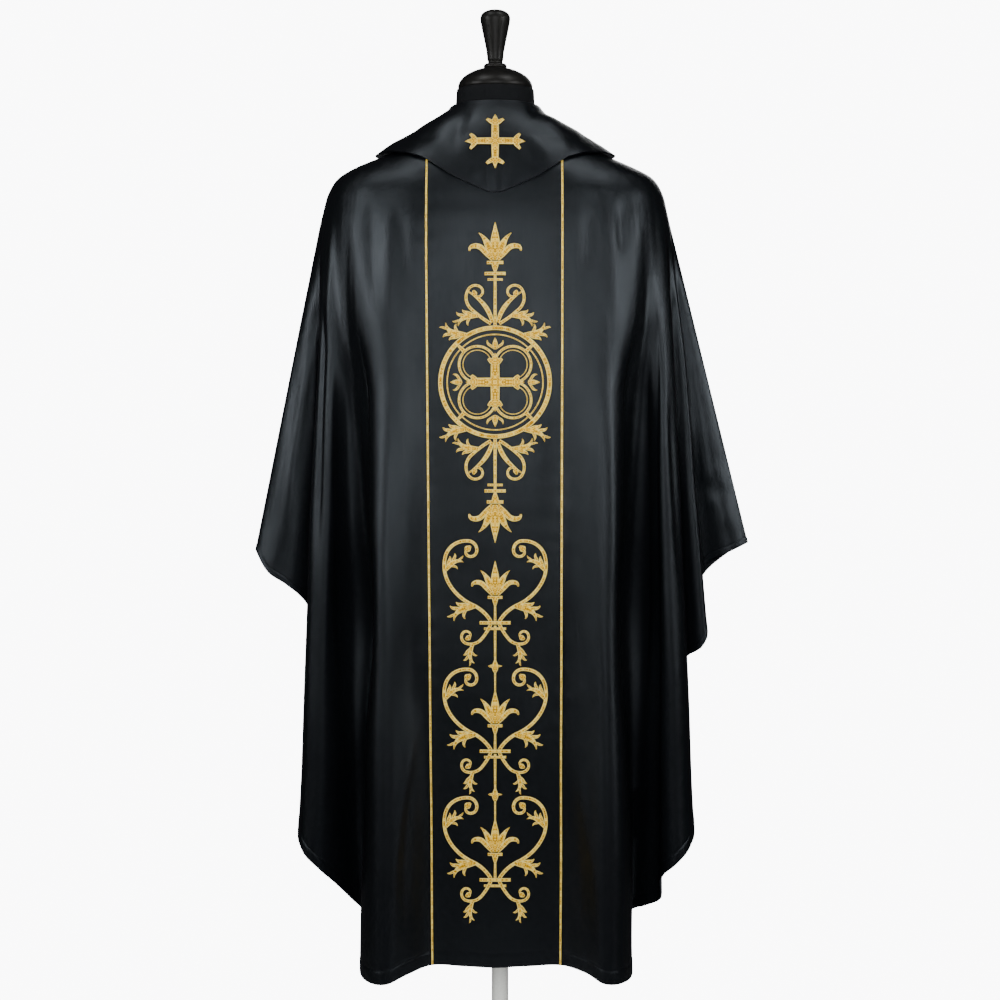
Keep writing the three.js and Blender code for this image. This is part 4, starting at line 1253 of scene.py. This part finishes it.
def newMaterial(name):
    material = bpy.data.materials.new(name)
    material.use_nodes = True
    shader = material.node_tree.nodes["Principled BSDF"]
    return material, material.node_tree, shader


def ramp(tree, factor, stops):
    node = addNode(tree, "ShaderNodeValToRGB", {0: factor})
    elements = node.color_ramp.elements
    while len(elements) < len(stops):
        elements.new(0.5)
    for element, (place, color) in zip(elements, stops):
        element.position = place
        element.color = (*color, 1)
    return node.outputs["Color"]


def mixed(tree, factor, first, color):
    mix = addNode(tree, "ShaderNodeMix", {0: factor}, data_type="RGBA")
    tree.links.new(first, mix.inputs[6])
    mix.inputs[7].default_value = (*color, 1)
    return mix.outputs[2]


def colored(tree, shader, color):
    tree.links.new(color, shader.inputs["Base Color"])


def roughened(tree, shader, value, rough, span=(0.0, 1.0)):
    node = addNode(tree, "ShaderNodeMapRange", {
        "Value": value, "From Min": span[0], "From Max": span[1], "To Min": rough[0], "To Max": rough[1]})
    tree.links.new(node.outputs["Result"], shader.inputs["Roughness"])


def bumped(tree, shader, height, distance, strength):
    bump = addNode(tree, "ShaderNodeBump", {"Height": height, "Distance": distance, "Strength": strength})
    tree.links.new(bump.outputs["Normal"], shader.inputs["Normal"])


satinLook = {
    "threads": 1400.0, "slubs": 420.0,
    "dark": (0.0008, 0.0009, 0.0012), "light": (0.0020, 0.0023, 0.0030),
    "tones": (0.38, 0.6), "rough": (0.375, 0.3), "specular": 0.6, "tint": (0.8, 0.9, 1.0),
    "bump": (0.00016, 0.6),
}
panelLook = {**satinLook, "threads": 1250.0, "rough": (0.43, 0.34)}
jerseyLook = {
    "threads": 900.0, "slubs": 500.0,
    "dark": (0.0015, 0.0019, 0.0025), "light": (0.003, 0.0037, 0.0048),
    "tones": (0.0, 1.0), "rough": (0.9, 0.7), "specular": 0.3, "tint": (1.0, 1.0, 1.0),
    "bump": (0.0003, 0.8),
}


def clothMaterial(name, look):
    material, tree, shader = newMaterial(name)
    uv = addNode(tree, "ShaderNodeUVMap", uv_map="cloth").outputs[0]
    threads = {"Vector": uv, "Threads": look["threads"], "Slubs": look["slubs"]}
    weave = addNode(tree, "ShaderNodeGroup", threads, node_tree=clothWeave)
    tone = weave.outputs["Tone"]
    colored(tree, shader, ramp(tree, tone, [(0.3, look["dark"]), (0.7, look["light"])]))
    roughened(tree, shader, tone, look["rough"], look["tones"])
    shader.inputs["Specular IOR Level"].default_value = look["specular"]
    shader.inputs["Specular Tint"].default_value = (*look["tint"], 1)
    bumped(tree, shader, weave.outputs["Height"], *look["bump"])
    return material


goldLook = {
    "low": (0.4, 0.17, 0.0), "middle": (0.86, 0.46, 0.004), "high": (1.0, 0.78, 0.17),
    # the rims' painted highlight colour, and the outline colour darkened by painted shade at the stroke's
    # foot
    "paintedRimHighlight": (1.0, 0.79, 0.22), "outline": (0.03, 0.014, 0.003),
    "rough": (0.5, 0.36), "metallic": 0.5, "bump": (0.00022, 0.7),
}


def goldMaterial(name, look, stitches):
    material, tree, shader = newMaterial(name)
    uv = addNode(tree, "ShaderNodeUVMap", uv_map="cloth").outputs[0]
    stitch = addNode(tree, "ShaderNodeGroup", {"Vector": uv, "Stitches": stitches}, node_tree=satinStitch)
    stops = [(0.4, look["low"]), (0.49, look["middle"]), (0.59, look["high"])]
    thread = ramp(tree, stitch.outputs["Tone"], stops)
    # painted highlight on the rims, then the outline with painted shade at the very edge
    withPaintedRimHighlight = mixed(tree, stitch.outputs["PaintedRimHighlight"], thread, look["paintedRimHighlight"])
    colored(tree, shader, mixed(tree, stitch.outputs["OutlineAndPaintedShade"], withPaintedRimHighlight, look["outline"]))
    roughened(tree, shader, stitch.outputs["Height"], look["rough"])
    shader.inputs["Metallic"].default_value = look["metallic"]
    bumped(tree, shader, stitch.outputs["Height"], *look["bump"])
    return material


# Wood grain runs up the turned pieces, and the steel's fine brushing round them
woodLook = {
    "stretch": (60.0, 60.0, 9.0),
    "noise": {"Scale": 3.0, "Detail": 6.0, "Roughness": 0.6, "Distortion": 0.6},
    "stops": [(0.3, (0.0025, 0.0025, 0.0024)), (0.7, (0.007, 0.0067, 0.0058))],
    "rough": (0.36, 0.46), "specular": 0.35, "metallic": 0.0, "bump": (0.00005, 0.25),
}
steelLook = {
    "stretch": (260.0, 260.0, 1200.0),
    "noise": {"Scale": 1.0, "Detail": 2.0},
    "stops": [(0.35, (0.56, 0.57, 0.54)), (0.65, (0.66, 0.67, 0.63))],
    "rough": (0.28, 0.46), "specular": 0.5, "metallic": 0.15, "bump": (0.00003, 0.3),
}


def grainedMaterial(name, look):
    material, tree, shader = newMaterial(name)
    place = addNode(tree, "ShaderNodeTexCoord").outputs["Object"]
    grain = addNode(tree, "ShaderNodeMapping", {"Vector": place, "Scale": look["stretch"]}).outputs[0]
    noise = addNode(tree, "ShaderNodeTexNoise", {"Vector": grain, **look["noise"]}).outputs["Fac"]
    colored(tree, shader, ramp(tree, noise, look["stops"]))
    roughened(tree, shader, noise, look["rough"])
    shader.inputs["Specular IOR Level"].default_value = look["specular"]
    shader.inputs["Metallic"].default_value = look["metallic"]
    bumped(tree, shader, noise, *look["bump"])
    return material


satin = clothMaterial("blackSatin", satinLook)
panelSatin = clothMaterial("orphreySatin", panelLook)
jersey = clothMaterial("blackJersey", jerseyLook)
goldEmbroidery = goldMaterial("goldEmbroidery", goldLook, 1500.0)
goldCord = goldMaterial("goldCord", goldLook, 900.0)
wood = grainedMaterial("darkTurnedWood", woodLook)
steel = grainedMaterial("brushedSteel", steelLook)


def dress(piece, material):
    piece.data.materials.clear()
    piece.data.materials.append(material)
    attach(piece, "root")


for piece in (chasubleBack, chasubleFront, collarBack, collarFront):
    dress(piece, satin)
for piece in (orphreyBack, orphreyFront):
    dress(piece, panelSatin)
for piece in (medallion, scrolls, cross):
    dress(piece, goldEmbroidery)
for piece in goldLines:
    dress(piece, goldCord)
dress(formTorso, jersey)
for piece in (capPiece, finialPiece):
    dress(piece, wood)
for piece in (polePiece, standPiece):
    dress(piece, steel)

# The cut that shows, as the flat area of one side in square metres
for piece in (chasubleBack, chasubleFront, orphreyBack, orphreyFront, collarBack, collarFront):
    print("cloth area", piece.name, round(areaOf(piece) / 2, 3))

# A plain floor and soft studio light
studio = {
    "floorRadius": 0.9,
    "lights": [
        # name, place, aim, width, height, power, spread in degrees
        ("frontSoftbox", (0.0, -1.9, 1.52), (0, 0, 1.24), 1.2, 0.8, 1.4, 58),
        ("leftSoftbox", (-2.5, -1.4, 1.85), (-0.1, 0, 1.15), 0.9, 0.8, 4.2, 75),
        ("rightSoftbox", (2.5, -1.4, 1.85), (0.1, 0, 1.15), 0.9, 0.8, 4.0, 75),
        ("topLeftSoftbox", (-0.75, -0.6, 3.0), (-0.15, 0, 1.45), 0.6, 0.6, 7, 180),
        ("topRightSoftbox", (0.75, -0.6, 3.0), (0.15, 0, 1.45), 0.6, 0.6, 7, 180),
        ("behindFill", (0.6, 3.2, 2.2), (0, 0, 1.1), 1.8, 1.4, 24, 180),
    ],
    # it lifts the gold and the pole, and leaves the satin's shine alone
    "dullFill": ("wideFill", (0.0, -3.6, 0.9), (0, 0, 0.85), 2.6, 2.0, 205, 180),
    "seenSky": ((0.93, 0.93, 0.95, 1), 10.5),
    "litSky": ((0.5, 0.52, 0.56, 1), 0.04),
}


def addLight(name, place, aim, width, height, power, spread):
    bpy.ops.object.light_add(type="AREA", location=place)
    light = bpy.context.object
    light.name = name
    light.data.shape = "RECTANGLE"
    light.data.size, light.data.size_y = width, height
    light.data.energy = power
    light.data.spread = math.radians(spread)
    reach = [a - b for a, b in zip(aim, place)]
    flat = math.hypot(reach[0], reach[1])
    light.rotation_euler = (math.atan2(flat, -reach[2]), 0, math.atan2(-reach[0], reach[1]))
    light.visible_camera = False
    return light


def setStudio():
    deselectAll()
    bpy.ops.mesh.primitive_circle_add(vertices=96, radius=studio["floorRadius"], fill_type="NGON",
                                      location=(0, 0, -0.0006))
    floor = bpy.context.object
    floor.name = "studioFloor"
    material, tree, shader = newMaterial("paleFloor")
    place = addNode(tree, "ShaderNodeTexCoord").outputs["Object"]
    noise = addNode(tree, "ShaderNodeTexNoise", {"Vector": place, "Scale": 6.0, "Detail": 3.0})
    stops = [(0.3, (0.78, 0.78, 0.79)), (0.7, (0.82, 0.82, 0.83))]
    colored(tree, shader, ramp(tree, noise.outputs["Fac"], stops))
    shader.inputs["Roughness"].default_value = 0.7
    floor.data.materials.append(material)
    for row in studio["lights"]:
        addLight(*row)
    addLight(*studio["dullFill"]).visible_glossy = False
    world = bpy.data.worlds.new("paleStudio")
    bpy.context.scene.world = world
    world.use_nodes = True
    tree = world.node_tree
    tree.nodes.clear()
    skies = [
        addNode(tree, "ShaderNodeBackground", {"Color": color, "Strength": strength}).outputs[0]
        for color, strength in (studio["litSky"], studio["seenSky"])]
    path = addNode(tree, "ShaderNodeLightPath")
    seen = path.outputs["Is Camera Ray"]
    mix = addNode(tree, "ShaderNodeMixShader", {0: seen, 1: skies[0], 2: skies[1]})
    addNode(tree, "ShaderNodeOutputWorld", {0: mix.outputs[0]})


setStudio()
print("studio set")
